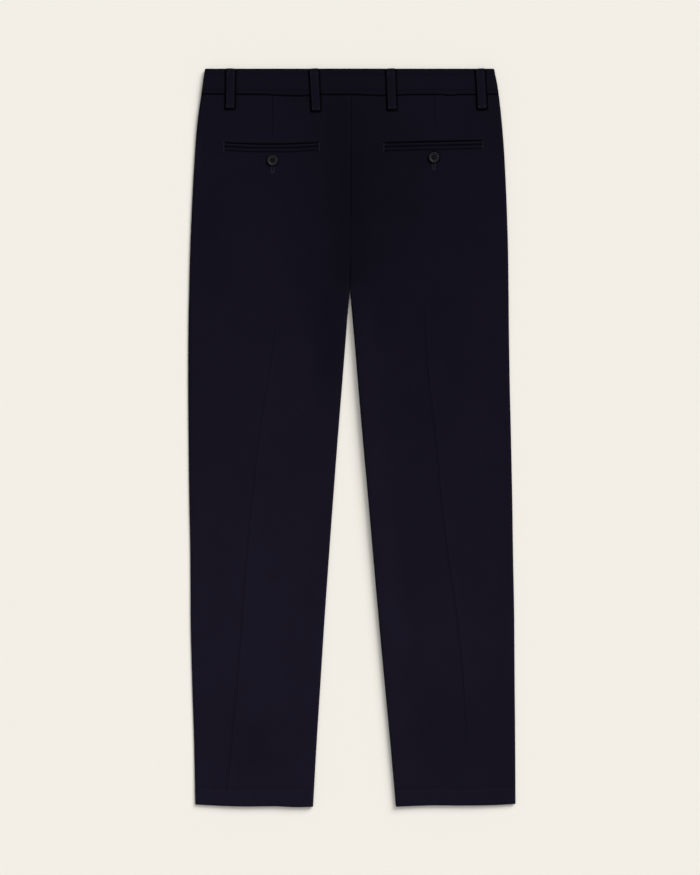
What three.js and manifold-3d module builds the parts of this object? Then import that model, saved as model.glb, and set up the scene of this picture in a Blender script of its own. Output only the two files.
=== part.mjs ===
// Chino trousers laid flat, face down, so that the back shows.
// Millimetres. +Z is up from the table, +Y runs from the hems to the waist and -X is the wearer's left.
// The origin is on the table, under the middle of the garment.
import * as THREE from "three";
import { mergeVertices } from "three/addons/utils/BufferGeometryUtils.js";
import Module from "manifold-3d";

const wasm = await Module();
wasm.setup();

// Driving dimensions
const garmentLength = 1084.5; // hems to the top of the waistband
const bandHeight = 38.3;
const crotchUp = 760; // where the legs part, above the hems
const clothWall = 1.2;
const hemWall = 1.9; // the turned-up hem is two layers
const hemDepth = 25;
const seamGap = 0.3;
const edgeRoll = 4.5; // how far in the cloth takes to roll over a folded edge
const bandWall = 1.5;
const bandStack = 5.4; // the flattened waistband, from its front face to its back face
const loopWidth = 13;
const loopStrap = 1.2;
const frontLoopStrap = 1.3;
const pocketButtonRadius = 7.6;
const pocketButtonHeight = 2.4;
const waistButtonRadius = 8;
const waistButtonHeight = 2;
const weltHeight = 5.6;

// What follows from them
const bandSeam = garmentLength - bandHeight;
const middleUp = garmentLength / 2;
const loopLift = frontLoopStrap + seamGap; // the front loops hold the waistband this far off the table
const flyRise = 1; // the waist button lifts the middle of the waistband this much more
const flyRiseWidth = 50;
const frontDip = 18; // the front waist hangs this much lower than the back one
const frontLiftFrom = 955; // the belt loops lift the front off the table between these
const frontLiftTo = 1018;
const centreFront = -1;

// The laid garment's outline. up is above the hems, and the rest are distances from the middle line.
const outline = [
  { up: 0, leftOut: -230, leftCrease: -185, leftIn: -56.5, rightIn: 65, rightCrease: 175, rightOut: 241.2 },
  { up: 98, leftOut: -232, leftCrease: -175, leftIn: -50.9, rightIn: 56.2, rightCrease: 170.5, rightOut: 240.8 },
  { up: 186, leftOut: -234.8, leftCrease: -167, leftIn: -45.3, rightIn: 47.9, rightCrease: 165, rightOut: 240 },
  { up: 275, leftOut: -236.9, leftCrease: -160, leftIn: -39.6, rightIn: 39.7, rightCrease: 156.5, rightOut: 239.4 },
  { up: 363, leftOut: -237.3, leftCrease: -153.5, leftIn: -33.4, rightIn: 31.9, rightCrease: 143.5, rightOut: 237.8 },
  { up: 451, leftOut: -238.9, leftCrease: -145, leftIn: -27, rightIn: 24.3, rightCrease: 133, rightOut: 236.5 },
  { up: 539, leftOut: -239.9, leftCrease: -135.5, leftIn: -20.3, rightIn: 16.3, rightCrease: 125, rightOut: 234.7 },
  { up: 627, leftOut: -240.5, leftCrease: -121.5, leftIn: -13.2, rightIn: 8.8, rightCrease: 114.5, rightOut: 232.7 },
  { up: 671, leftOut: -240.4, leftCrease: -115, leftIn: -9.7, rightIn: 5.2, rightCrease: 111, rightOut: 232 },
  { up: 716, leftOut: -240, leftCrease: -111, leftIn: -6.2, rightIn: 1.2, rightCrease: 109, rightOut: 231.4 },
  { up: 742, leftOut: -239.5, leftCrease: -111, leftIn: -4, rightIn: -1.1, rightCrease: 110, rightOut: 231.2 },
  { up: 758, leftOut: -239.1, leftCrease: -111, leftIn: -2.6, rightIn: -2.5, rightCrease: 110, rightOut: 231 },
  { up: 804, leftOut: -238, leftCrease: -112, leftIn: -1.6, rightIn: -1.6, rightCrease: 112, rightOut: 230.5 },
  { up: 870, leftOut: -235.5, leftCrease: -114, leftIn: -1, rightIn: -1, rightCrease: 116, rightOut: 228.7 },
  { up: 958, leftOut: -230.7, leftCrease: -116.9, leftIn: -1, rightIn: -1, rightCrease: 120.5, rightOut: 224.7 },
  { up: 1002, leftOut: -227.2, leftCrease: -117.1, leftIn: -1, rightIn: -1, rightCrease: 121, rightOut: 221.3 },
  { up: 1048, leftOut: -220.9, leftCrease: -117.1, leftIn: -1, rightIn: -1, rightCrease: 121, rightOut: 216.2 },
  { up: 1084.5, leftOut: -215.6, leftCrease: -117.1, leftIn: -1, rightIn: -1, rightCrease: 121, rightOut: 209.6 },
];

// How far the hems' edges lie above the legs' measured end, from a leg's inner edge to its outer one.
const hems = [
  { share: 0, left: -1, right: -0.8 },
  { share: 0.14, left: -1.4, right: 0.3 },
  { share: 0.34, left: -0.1, right: 1.2 },
  { share: 0.58, left: -0.5, right: 0.9 },
  { share: 0.78, left: 0.4, right: 1.4 },
  { share: 1, left: 2.3, right: 3.1 },
];
const hemReach = 70; // and the cloth above them is level again this far up

// How high the back of the cloth lies: in the middle of a leg, by its outer edge and by its inner one, and
// how deep the valley is beside the centre back seam.
const lay = [
  { up: 0, middle: 5.8, outer: 5, leftInner: 6, rightInner: 6.4, valley: 0 },
  { up: 26, middle: 5.3, outer: 4.5, leftInner: 5.8, rightInner: 6.3, valley: 0 },
  { up: 100, middle: 4.3, outer: 3.4, leftInner: 5, rightInner: 6.1, valley: 0 },
  { up: 450, middle: 4.3, outer: 3.4, leftInner: 5.3, rightInner: 6.2, valley: 0 },
  { up: 620, middle: 4.8, outer: 3.9, leftInner: 5.8, rightInner: 6.4, valley: 0.4 },
  { up: 758, middle: 5.7, outer: 4.7, leftInner: 6, rightInner: 6.3, valley: 1.3 },
  { up: 860, middle: 6.3, outer: 5.8, leftInner: 6.3, rightInner: 6.3, valley: 1.1 },
  { up: 960, middle: 6.7, outer: 6.4, leftInner: 6.7, rightInner: 6.7, valley: 0.4 },
  { up: 1048, middle: 6.9, outer: 6.9, leftInner: 6.9, rightInner: 6.9, valley: 0 },
];
const valleyWidth = 42;
const outerWidth = 34;
const innerWidth = 24;
const creaseHeight = 0.7;
const dartDepth = 0.5;
const dartTip = 978;
const dartRun = 20; // the dart fades in over this length
const seamDitch = 0.08; // how deep the centre seams lie, as a share of a rolled edge
const partFrom = crotchUp - 26; // the inner edges turn from inseams into centre seams between these
const partTo = crotchUp + 16;

// The largest soft folds along the legs: troughs if deep is above 0, ridges if below.
const folds = [
  { side: "right", fromX: 58, fromUp: 480, toX: 92, toUp: 190, deep: 0.55, wide: 13 },
  { side: "right", fromX: 211, fromUp: 500, toX: 222, toUp: 150, deep: 0.45, wide: 11 },
  { side: "left", fromX: -58, fromUp: 730, toX: -48, toUp: 560, deep: 0.6, wide: 20 },
  { side: "left", fromX: -96, fromUp: 300, toX: -112, toUp: 90, deep: 0.4, wide: 18 },
  { side: "right", fromX: 60, fromUp: 800, toX: 108, toUp: 760, deep: 0.4, wide: 18 },
];

// The back pockets. slit holds the height of the slit at its left end, in its middle and at its right end.
const pockets = [
  { side: "left", from: -188, to: -47.5, slit: [969.8, 967.3, 970], button: { x: -116.1, up: 949.5 } },
  { side: "right", from: 47.3, to: 192.7, slit: [969.2, 970.9, 972.8], button: { x: 121, up: 953.8 } },
];

// The belt loops on the back, by the middle of their upper and lower ends.
const backLoops = [
  { name: "belt_loop_back_outer_left", topX: -177.6, endX: -178.6, endUp: 1025.5 },
  { name: "belt_loop_back_inner_left", topX: -55.5, endX: -52.1, endUp: 1022 },
  { name: "belt_loop_back_inner_right", topX: 57.2, endX: 59.6, endUp: 1024 },
  { name: "belt_loop_back_outer_right", topX: 188.6, endX: 192, endUp: 1025 },
];
const frontLoops = [
  { name: "belt_loop_front_left", x: -132, endUp: 1025 },
  { name: "belt_loop_front_right", x: 130, endUp: 1025 },
];

const sides = [
  { name: "left", out: "leftOut", crease: "leftCrease", inner: "leftIn", lay: "leftInner", outward: -1 },
  { name: "right", out: "rightOut", crease: "rightCrease", inner: "rightIn", lay: "rightInner", outward: 1 },
];

const navyTwill = { color: 0x16131f, roughness: 0.9, metalness: 0 };
const navyHorn = { color: 0x2e2f35, roughness: 0.45, metalness: 0 };
const navyTape = { color: 0x14131c, roughness: 0.8, metalness: 0 };

const lerp = THREE.MathUtils.lerp;
const smoothstep = THREE.MathUtils.smoothstep;
const bell = (distance, width) => Math.exp(-((distance / width) ** 2));
const spread = (from, to, count) => Array.from({ length: count + 1 }, (_, i) => lerp(from, to, i / count));

// A smooth value between a table's rows, which never overshoots them.
function tableAt(table, column, place, key = "up") {
  const last = table.length - 1;
  if (place <= table[0][key]) return table[0][column];
  if (place >= table[last][key]) return table[last][column];
  const i = table.findIndex((row) => row[key] > place) - 1;
  const slope = (k) => (table[k + 1][column] - table[k][column]) / (table[k + 1][key] - table[k][key]);
  const tangent = (k) => {
    if (k === 0) return slope(0);
    if (k === last) return slope(last - 1);
    const before = slope(k - 1);
    const after = slope(k);
    return before * after <= 0 ? 0 : (2 * before * after) / (before + after);
  };
  const step = table[i + 1][key] - table[i][key];
  const t = (place - table[i][key]) / step;
  return (
    table[i][column] * (2 * t ** 3 - 3 * t ** 2 + 1) +
    tangent(i) * step * (t ** 3 - 2 * t ** 2 + t) +
    table[i + 1][column] * (3 * t ** 2 - 2 * t ** 3) +
    tangent(i + 1) * step * (t ** 3 - t ** 2)
  );
}

// How deep the soft folds are at a point of one leg.
function foldDepth(side, x, up) {
  let depth = 0;
  for (const fold of folds) {
    if (fold.side !== side.name) continue;
    const along = (up - fold.fromUp) / (fold.toUp - fold.fromUp);
    if (along <= 0 || along >= 1) continue;
    const away = x - lerp(fold.fromX, fold.toX, along);
    depth += fold.deep * Math.sin(Math.PI * along) ** 0.7 * bell(away, fold.wide);
  }
  return depth;
}

// How much the waist button lifts the cloth above it.
const buttonLift = (x) => flyRise * bell(x - centreFront, flyRiseWidth);

// The height of the back's outer face over the table.
function backHeight(side, x, up) {
  const fromOut = Math.abs(x - tableAt(outline, side.out, up));
  const fromIn = Math.abs(x - tableAt(outline, side.inner, up));
  const middle = tableAt(lay, "middle", up);
  const outer = (tableAt(lay, "outer", up) - middle) * bell(fromOut - edgeRoll, outerWidth);
  const inner = (tableAt(lay, side.lay, up) - middle) * bell(fromIn - edgeRoll, innerWidth);
  const valley = tableAt(lay, "valley", up) * bell(fromIn, valleyWidth);
  const fly = buttonLift(x) * smoothstep(up, 900, 1010);
  return middle + outer + inner - valley + fly - foldDepth(side, x, up);
}

// The pressed crease stands up along the leg, and the dart above the pocket is drawn in.
function creaseRise(up) {
  const pressed = creaseHeight * smoothstep(up, 8, 60) * (1 - smoothstep(up, 560, 720));
  return pressed - dartDepth * smoothstep(up, dartTip, dartTip + dartRun);
}

// The height of the front's outer face: flat on the table, and lifted by the belt loops near the waist.
const frontHeight = (x, up) => (loopLift + buttonLift(x)) * smoothstep(up, frontLiftFrom, frontLiftTo);

// How much lower the front waist lies than the back one.
function waistDip(x) {
  const half = tableAt(outline, x < 0 ? "leftOut" : "rightOut", bandSeam);
  return frontDip * (1 - Math.min(1, (x / half) ** 2)) ** 2;
}
const frontY = (x, up) => up - middleUp - waistDip(x) * smoothstep(up, 900, bandSeam);

// A closed solid between two grids of points, as a geometry with its faces pointing out.
function wallBetween(outer, inner) {
  const rows = outer.length;
  const columns = outer[0].length;
  const points = [...outer.flat(), ...inner.flat()];
  const at = (layer, i, j) => layer * rows * columns + i * columns + j;
  const faces = [];
  const quad = (a, b, c, d) => faces.push(a, b, c, a, c, d);
  for (let i = 0; i + 1 < rows; i++) {
    for (let j = 0; j + 1 < columns; j++) {
      quad(at(0, i, j), at(0, i, j + 1), at(0, i + 1, j + 1), at(0, i + 1, j));
      quad(at(1, i, j), at(1, i + 1, j), at(1, i + 1, j + 1), at(1, i, j + 1));
    }
    const end = columns - 1;
    quad(at(0, i, 0), at(0, i + 1, 0), at(1, i + 1, 0), at(1, i, 0));
    quad(at(0, i + 1, end), at(0, i, end), at(1, i, end), at(1, i + 1, end));
  }
  for (let j = 0; j + 1 < columns; j++) {
    const top = rows - 1;
    quad(at(0, 0, j + 1), at(0, 0, j), at(1, 0, j), at(1, 0, j + 1));
    quad(at(0, top, j), at(0, top, j + 1), at(1, top, j + 1), at(1, top, j));
  }
  return facingOut(points, faces);
}

function facingOut(points, faces) {
  const cross = new THREE.Vector3();
  let volume = 0;
  for (let i = 0; i < faces.length; i += 3) {
    const [a, b, c] = [points[faces[i]], points[faces[i + 1]], points[faces[i + 2]]];
    volume += cross.crossVectors(b, c).dot(a);
  }
  if (volume < 0) faces.reverse();
  const geometry = new THREE.BufferGeometry().setFromPoints(points);
  geometry.setIndex(faces);
  geometry.computeVertexNormals();
  return geometry;
}

// A solid for cutting and joining, from a closed geometry.
function solidOf(geometry) {
  const bare = new THREE.BufferGeometry().setAttribute("position", geometry.getAttribute("position"));
  bare.setIndex(geometry.index);
  const merged = mergeVertices(bare, 1e-4);
  return new wasm.Manifold(
    new wasm.Mesh({
      numProp: 3,
      vertProperties: new Float32Array(merged.attributes.position.array),
      triVerts: new Uint32Array(merged.index.array),
    }),
  );
}

function geometryOf(solid) {
  const mesh = solid.getMesh();
  const geometry = new THREE.BufferGeometry();
  geometry.setAttribute("position", new THREE.BufferAttribute(new Float32Array(mesh.vertProperties), 3));
  geometry.setIndex(new THREE.BufferAttribute(new Uint32Array(mesh.triVerts), 1));
  geometry.computeVertexNormals();
  return geometry;
}

function piece(name, geometry, material) {
  const mesh = new THREE.Mesh(geometry, new THREE.MeshStandardMaterial(material));
  mesh.name = name;
  return mesh;
}

// An upright prism over a closed line of points in the plan.
function prism(line, low, high) {
  const shape = new THREE.Shape(line);
  const geometry = new THREE.ExtrudeGeometry(shape, { depth: high - low, bevelEnabled: false });
  geometry.translate(0, 0, low);
  return solidOf(geometry);
}

// Where a panel's section has its points: rolled over at both edges, flat between them.
const rollAngles = [0, Math.PI / 6, Math.PI / 3];
function sectionStations(side, up, { toCrease, fromCrease, besideCrease }) {
  const inner = tableAt(outline, side.inner, up) + (side.outward * seamGap) / 2;
  const out = tableAt(outline, side.out, up);
  const crease = tableAt(outline, side.crease, up);
  const inStart = inner + side.outward * edgeRoll;
  const outEnd = out - side.outward * edgeRoll;
  const beside = side.outward * besideCrease;
  const stations = [];
  for (const angle of rollAngles) {
    stations.push({ x: inner + side.outward * edgeRoll * (1 - Math.cos(angle)), angle, edge: "inner" });
  }
  for (const share of toCrease) stations.push({ x: lerp(inStart, crease - beside, share) });
  stations.push({ x: crease, onCrease: true });
  for (const share of fromCrease) stations.push({ x: lerp(crease + beside, outEnd, share) });
  for (const angle of [...rollAngles].reverse()) {
    stations.push({ x: out - side.outward * edgeRoll * (1 - Math.cos(angle)), angle, edge: "outer" });
  }
  return stations;
}

// The outer and inner point of a panel at one station. isBack is true for the back, which lies on top.
function panelPoints(side, station, up, isBack) {
  const facing = isBack ? 1 : -1;
  const { x, angle = Math.PI / 2, edge } = station;
  const back = backHeight(side, x, up) + (station.onCrease ? creaseRise(up) : 0);
  const front = frontHeight(x, up);
  const flat = isBack ? back : front;
  // Above the crotch the inner edge is the centre seam, a shallow ditch. Below it, the cloth rolls over.
  const turned = edge === "inner" ? lerp(1, seamDitch, smoothstep(up, partFrom, partTo)) : 1;
  const seam = (back + front) / 2 + (facing * seamGap) / 2;
  const z = flat - turned * (flat - seam) * (1 - Math.sin(angle));
  const inward = (edge === "inner" ? side.outward : -side.outward) * turned * Math.cos(angle);
  const across = facing * (1 - turned + turned * Math.sin(angle));
  const length = Math.hypot(inward, across);
  const wall = up <= hemDepth ? hemWall : clothWall;
  const hem = tableAt(hems, side.name, shareAcross(side, x, up), "share") * (1 - smoothstep(up, 0, hemReach));
  const y = (isBack ? up - middleUp : frontY(x, up)) + hem;
  return [
    new THREE.Vector3(x, y, z),
    new THREE.Vector3(x + (wall * inward) / length, y, z - (wall * across) / length),
  ];
}

// How far across the leg a point is, from its inner edge to its outer one.
function shareAcross(side, x, up) {
  const inner = tableAt(outline, side.inner, up);
  return (x - inner) / (tableAt(outline, side.out, up) - inner);
}

const backSections = {
  toCrease: [0, 0.1, 0.22, 0.38, 0.66, 1],
  fromCrease: [0, 0.3, 0.6, 0.82, 1],
  besideCrease: 5,
};
const frontSections = { toCrease: spread(0, 0.8, 4), fromCrease: spread(0.2, 1, 4), besideCrease: 0 };
const backRows = [
  ...spread(0, hemDepth, 2),
  ...spread(hemDepth + 1.5, crotchUp - 60, 14),
  ...spread(crotchUp - 42, crotchUp + 30, 5),
  ...spread(crotchUp + 60, bandSeam - seamGap / 2, 9),
];
const frontRows = [
  ...spread(0, hemDepth, 1),
  ...spread(hemDepth + 1.5, crotchUp - 60, 8),
  ...spread(crotchUp - 42, crotchUp + 30, 4),
  ...spread(crotchUp + 90, frontLiftFrom, 2),
  ...spread(frontLiftFrom + 20, bandSeam - seamGap / 2, 5),
];

function panelWall(side, rows, sections, isBack) {
  const grid = rows.map((up) =>
    sectionStations(side, up, sections).map((station) => panelPoints(side, station, up, isBack)),
  );
  return wallBetween(
    grid.map((row) => row.map(([outer]) => outer)),
    grid.map((row) => row.map(([, inner]) => inner)),
  );
}

// The height of a pocket's slit at x.
function slitUp(pocket, x) {
  const t = (x - pocket.from) / (pocket.to - pocket.from);
  const [start, middle, end] = pocket.slit;
  return start * (1 - t) * (1 - 2 * t) + middle * 4 * t * (1 - t) + end * t * (2 * t - 1);
}

// The opening cut in the back for a pocket's two welts.
function pocketWindow(pocket) {
  const reach = weltHeight + seamGap;
  const along = spread(pocket.from - seamGap, pocket.to + seamGap, 12);
  const low = along.map((x) => new THREE.Vector2(x, slitUp(pocket, x) - middleUp - reach));
  const high = along.map((x) => new THREE.Vector2(x, slitUp(pocket, x) - middleUp + reach));
  return prism([...low, ...high.reverse()], 0, 20);
}

function backPanel(side) {
  const blank = solidOf(panelWall(side, backRows, backSections, true));
  const pocket = pockets.find((p) => p.side === side.name);
  return piece(`back_${side.name}`, geometryOf(blank.subtract(pocketWindow(pocket))), navyTwill);
}

// A welt is a folded strip that fills half of the pocket's opening, with a rounded face.
function welt(pocket, side, isUpper) {
  const direction = isUpper ? 1 : -1;
  const start = seamGap / 2;
  const profile = [
    { off: start, rise: -0.25 },
    { off: start + 0.6, rise: 0.25 },
    { off: (start + weltHeight) / 2, rise: 0.4 },
    { off: weltHeight - 0.6, rise: 0.2 },
    { off: weltHeight, rise: -0.3 },
  ];
  const along = spread(pocket.from, pocket.to, 12);
  const face = along.map((x) =>
    profile.map(({ off, rise }) => {
      const up = slitUp(pocket, x) + direction * off;
      return new THREE.Vector3(x, up - middleUp, backHeight(side, x, up) + rise);
    }),
  );
  const under = along.map((x) =>
    profile.map(({ off }) => {
      const up = slitUp(pocket, x) + direction * off;
      return new THREE.Vector3(x, up - middleUp, backHeight(side, x, up) - clothWall);
    }),
  );
  const place = isUpper ? "upper" : "lower";
  return piece(`back_pocket_${place}_welt_${side.name}`, wallBetween(face, under), navyTwill);
}

// The front's upper outer corner is the slant pocket's facing, cut from the same form along the pocket mouth.
const mouthDepth = 165;
const mouthInset = 42;
function slantCorner(side, offset) {
  const foot = new THREE.Vector2(
    tableAt(outline, side.out, bandSeam - mouthDepth),
    bandSeam - mouthDepth - middleUp,
  );
  const head = new THREE.Vector2(
    tableAt(outline, side.out, bandSeam) - side.outward * mouthInset,
    bandSeam - middleUp,
  );
  const along = head.clone().sub(foot).normalize();
  const outward = new THREE.Vector2(along.y, -along.x).multiplyScalar(side.outward);
  const shift = outward.clone().multiplyScalar(offset);
  const low = foot.clone().addScaledVector(along, -40).add(shift);
  const high = head.clone().addScaledVector(along, 40).add(shift);
  const away = outward.clone().multiplyScalar(120);
  return prism([low, high, high.clone().add(away), low.clone().add(away)], -5, 20);
}

function frontPieces(side) {
  const blank = solidOf(panelWall(side, frontRows, frontSections, false));
  const front = blank.subtract(slantCorner(side, -seamGap / 2));
  const facing = blank.intersect(slantCorner(side, seamGap / 2));
  return [
    piece(`front_${side.name}`, geometryOf(front), navyTwill),
    piece(`front_pocket_facing_${side.name}`, geometryOf(facing), navyTwill),
  ];
}

// The waistband is one strip: from its left end under the middle, round the left side, over the back,
// round the right side and back under the middle, where the right end lies inside the left one.
const lapEnd = 5;
const underlapEnd = -40;
const lapStep = bandWall + seamGap;

function bandRun(up) {
  const left = tableAt(outline, "leftOut", up);
  const right = tableAt(outline, "rightOut", up);
  const radius = bandStack / 2;
  const floorAt = (x) => loopLift + buttonLift(x);
  const run = [];
  const under = (x, lift) => {
    run.push({ x, z: floorAt(x) + lift, normalX: 0, normalZ: -1, dip: waistDip(x) });
  };
  const turn = (centre, from, to) => {
    for (const angle of spread(from, to, 6).slice(1, -1)) {
      const normalX = Math.cos(angle);
      const normalZ = Math.sin(angle);
      const x = centre + radius * normalX;
      run.push({ x, z: floorAt(x) + radius + radius * normalZ, normalX, normalZ, dip: 0 });
    }
  };
  for (const x of spread(lapEnd, left + radius, 10)) under(x, 0);
  turn(left + radius, -Math.PI / 2, (-3 * Math.PI) / 2);
  for (const x of spread(left + radius, right - radius, 20)) {
    run.push({ x, z: floorAt(x) + bandStack, normalX: 0, normalZ: 1, dip: 0 });
  }
  turn(right - radius, Math.PI / 2, -Math.PI / 2);
  for (const x of [...spread(right - radius, 24, 9), 20, 15, 10, ...spread(0, underlapEnd, 3)]) {
    under(x, lapStep * (1 - smoothstep(x, 10, 24)));
  }
  return run;
}

function waistband() {
  const face = [
    { up: bandSeam + seamGap / 2, depth: 0.5 },
    { up: bandSeam + 0.9, depth: 0 },
    { up: bandSeam + bandHeight / 2, depth: 0 },
    { up: garmentLength - 1.2, depth: 0 },
    { up: garmentLength - 0.2, depth: 0.5 },
  ];
  const layer = (depthOf) =>
    face.map((row) =>
      bandRun(row.up).map(({ x, z, normalX, normalZ, dip }) => {
        const inward = depthOf(row);
        return new THREE.Vector3(x - inward * normalX, row.up - middleUp - dip, z - inward * normalZ);
      }),
    );
  return piece("waistband", wallBetween(layer((row) => row.depth), layer(() => bandWall)), navyTwill);
}

// The height of the waistband's back face at x.
const bandTop = (x) => loopLift + bandStack + buttonLift(x);

// A belt loop is a strap with both ends turned under, so it stands off the waistband between them.
function backLoop({ name, topX, endX, endUp }) {
  const length = garmentLength - endUp;
  const turned = 8;
  const high = 2 * loopStrap + 0.1;
  const sag = 0.35;
  const profile = new THREE.Shape();
  profile.moveTo(turned, 0);
  profile.absarc(loopStrap, loopStrap, loopStrap, -Math.PI / 2, -Math.PI, true);
  profile.absarc(loopStrap, high - loopStrap, loopStrap, Math.PI, Math.PI / 2, true);
  profile.quadraticCurveTo(length / 2, high - 2 * sag, length - loopStrap, high);
  profile.absarc(length - loopStrap, high - loopStrap, loopStrap, Math.PI / 2, 0, true);
  profile.absarc(length - loopStrap, loopStrap, loopStrap, 0, -Math.PI / 2, true);
  profile.lineTo(length - turned, 0);
  profile.lineTo(length - turned, high - loopStrap - 0.2);
  profile.quadraticCurveTo(length / 2, high - loopStrap - 2 * sag, turned, high - loopStrap - 0.2);
  profile.closePath();
  const bevel = 0.3;
  const geometry = new THREE.ExtrudeGeometry(profile, {
    depth: loopWidth - 2 * bevel,
    curveSegments: 3,
    bevelThickness: bevel,
    bevelSize: bevel,
    bevelOffset: -bevel,
    bevelSegments: 1,
  });
  geometry.translate(0, 0, bevel - loopWidth / 2);
  geometry.rotateX(Math.PI / 2);
  const strap = piece(name, geometry, navyTwill);
  strap.rotation.z = Math.atan2(length, topX - endX);
  strap.position.set(endX, endUp - middleUp, Math.max(bandTop(topX), bandTop(endX)) + seamGap);
  return strap;
}

// Under the front, the loops are pressed flat by the garment's weight.
function frontLoop({ name, x, endUp }) {
  const dip = waistDip(x);
  const low = endUp - middleUp - dip;
  const high = garmentLength - middleUp - dip;
  const corner = 1;
  const half = loopWidth / 2;
  const plan = new THREE.Shape();
  plan.moveTo(-half + corner, low);
  plan.lineTo(half - corner, low);
  plan.quadraticCurveTo(half, low, half, low + corner);
  plan.lineTo(half, high - corner);
  plan.quadraticCurveTo(half, high, half - corner, high);
  plan.lineTo(-half + corner, high);
  plan.quadraticCurveTo(-half, high, -half, high - corner);
  plan.lineTo(-half, low + corner);
  plan.quadraticCurveTo(-half, low, -half + corner, low);
  const flat = { depth: frontLoopStrap, bevelEnabled: false, curveSegments: 2 };
  const geometry = new THREE.ExtrudeGeometry(plan, flat);
  const strap = piece(name, geometry, navyTwill);
  strap.position.set(x, 0, 0);
  return strap;
}

// A four-hole button with a raised rim. Its face is +Z.
function buttonGeometry(radius, height) {
  const profile = [
    [0, 0],
    [radius - 0.9, 0],
    [radius, 0.7],
    [radius, height - 0.7],
    [radius - 0.6, height],
    [radius - 1.5, height],
    [radius - 2.6, height - 0.6],
    [0, height - 0.7],
  ].map(([r, z]) => new THREE.Vector2(r, z));
  const disc = new THREE.LatheGeometry(profile, 28);
  disc.rotateX(Math.PI / 2);
  let solid = solidOf(disc);
  const holeRadius = 0.95;
  const holeOffset = 1.75;
  for (const x of [-holeOffset, holeOffset]) {
    for (const y of [-holeOffset, holeOffset]) {
      const drill = new THREE.CylinderGeometry(holeRadius, holeRadius, 3 * height, 8);
      drill.rotateX(Math.PI / 2);
      drill.translate(x, y, 0);
      solid = solid.subtract(solidOf(drill));
    }
  }
  return geometryOf(solid);
}

// The highest the cloth reaches under a round piece.
function highestUnder(side, x, up, radius) {
  let highest = 0;
  for (const angle of spread(0, 2 * Math.PI, 16)) {
    for (const share of [0, 0.5, 1]) {
      const reach = radius * share;
      const height = backHeight(side, x + reach * Math.cos(angle), up + reach * Math.sin(angle));
      highest = Math.max(highest, height);
    }
  }
  return highest;
}

function pocketButton(pocket, side) {
  const { x, up } = pocket.button;
  const button = piece(
    `back_pocket_button_${side.name}`,
    buttonGeometry(pocketButtonRadius, pocketButtonHeight),
    navyHorn,
  );
  button.position.set(x, up - middleUp, highestUnder(side, x, up, pocketButtonRadius) + seamGap);
  return button;
}

// The waist button shows under the garment, so its face is turned to the table.
function waistButton() {
  const x = centreFront - 10;
  const button = piece("waist_button", buttonGeometry(waistButtonRadius, waistButtonHeight), navyHorn);
  button.rotation.x = Math.PI;
  button.position.set(x, bandSeam + bandHeight / 2 - middleUp - waistDip(x), waistButtonHeight);
  return button;
}

// The closed zip lies behind the fly, on the inside of the fronts: two tapes, the chain and the slider.
const zipWidth = 26;
const zipFoot = 892;
const zipTape = 0.8;
const zipSlider = { foot: 1030, head: 1040, rise: 0.2 };
function zip() {
  const chainHalf = 2.6;
  const chainRise = 0.4;
  const offsets = [-zipWidth / 2, -chainHalf - 0.4, -chainHalf, chainHalf, chainHalf + 0.4, zipWidth / 2];
  const rows = [
    ...spread(zipFoot, frontLiftFrom, 2),
    ...spread(frontLiftFrom + 16, frontLiftTo, 4),
    zipSlider.foot - 0.5,
    zipSlider.foot,
    zipSlider.head,
    zipSlider.head + 0.5,
    bandSeam - 2,
  ];
  const bottom = rows.map((up) =>
    offsets.map((off) => {
      const x = centreFront + off;
      return new THREE.Vector3(x, frontY(x, up), frontHeight(x, up) + clothWall + 2 * seamGap);
    }),
  );
  const top = rows.map((up, i) =>
    offsets.map((off, j) => {
      const onChain = Math.abs(off) <= chainHalf;
      const onSlider = onChain && up >= zipSlider.foot && up <= zipSlider.head;
      const rise = zipTape + (onChain ? chainRise : 0) + (onSlider ? zipSlider.rise : 0);
      const base = bottom[i][j];
      return new THREE.Vector3(base.x, base.y, base.z + rise);
    }),
  );
  return piece("zip", wallBetween(top, bottom), navyTape);
}

const trousers = new THREE.Group();
trousers.add(waistband(), zip(), waistButton());
for (const side of sides) {
  const pocket = pockets.find((p) => p.side === side.name);
  trousers.add(backPanel(side), ...frontPieces(side));
  trousers.add(welt(pocket, side, true), welt(pocket, side, false), pocketButton(pocket, side));
}
for (const loop of backLoops) trousers.add(backLoop(loop));
for (const loop of frontLoops) trousers.add(frontLoop(loop));

export default trousers;
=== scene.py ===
import math

import bpy
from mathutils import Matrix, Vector, noise


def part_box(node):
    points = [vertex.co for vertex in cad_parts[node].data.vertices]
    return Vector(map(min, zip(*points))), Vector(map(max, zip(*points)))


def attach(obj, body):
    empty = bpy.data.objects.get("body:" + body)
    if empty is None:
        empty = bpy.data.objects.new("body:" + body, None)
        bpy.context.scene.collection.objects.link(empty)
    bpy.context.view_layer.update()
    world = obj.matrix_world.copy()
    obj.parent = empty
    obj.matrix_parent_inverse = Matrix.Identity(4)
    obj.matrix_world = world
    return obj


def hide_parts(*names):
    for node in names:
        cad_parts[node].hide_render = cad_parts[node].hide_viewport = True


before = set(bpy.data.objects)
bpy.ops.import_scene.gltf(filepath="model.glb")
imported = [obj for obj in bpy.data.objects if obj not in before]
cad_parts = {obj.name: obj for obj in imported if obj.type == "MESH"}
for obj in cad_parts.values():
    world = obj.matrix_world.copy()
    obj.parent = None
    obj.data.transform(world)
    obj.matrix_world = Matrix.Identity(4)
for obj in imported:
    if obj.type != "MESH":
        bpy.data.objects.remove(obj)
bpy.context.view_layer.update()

mm = 0.001
body = "root"
print("frame loaded:", len(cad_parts), "nodes")

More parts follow.
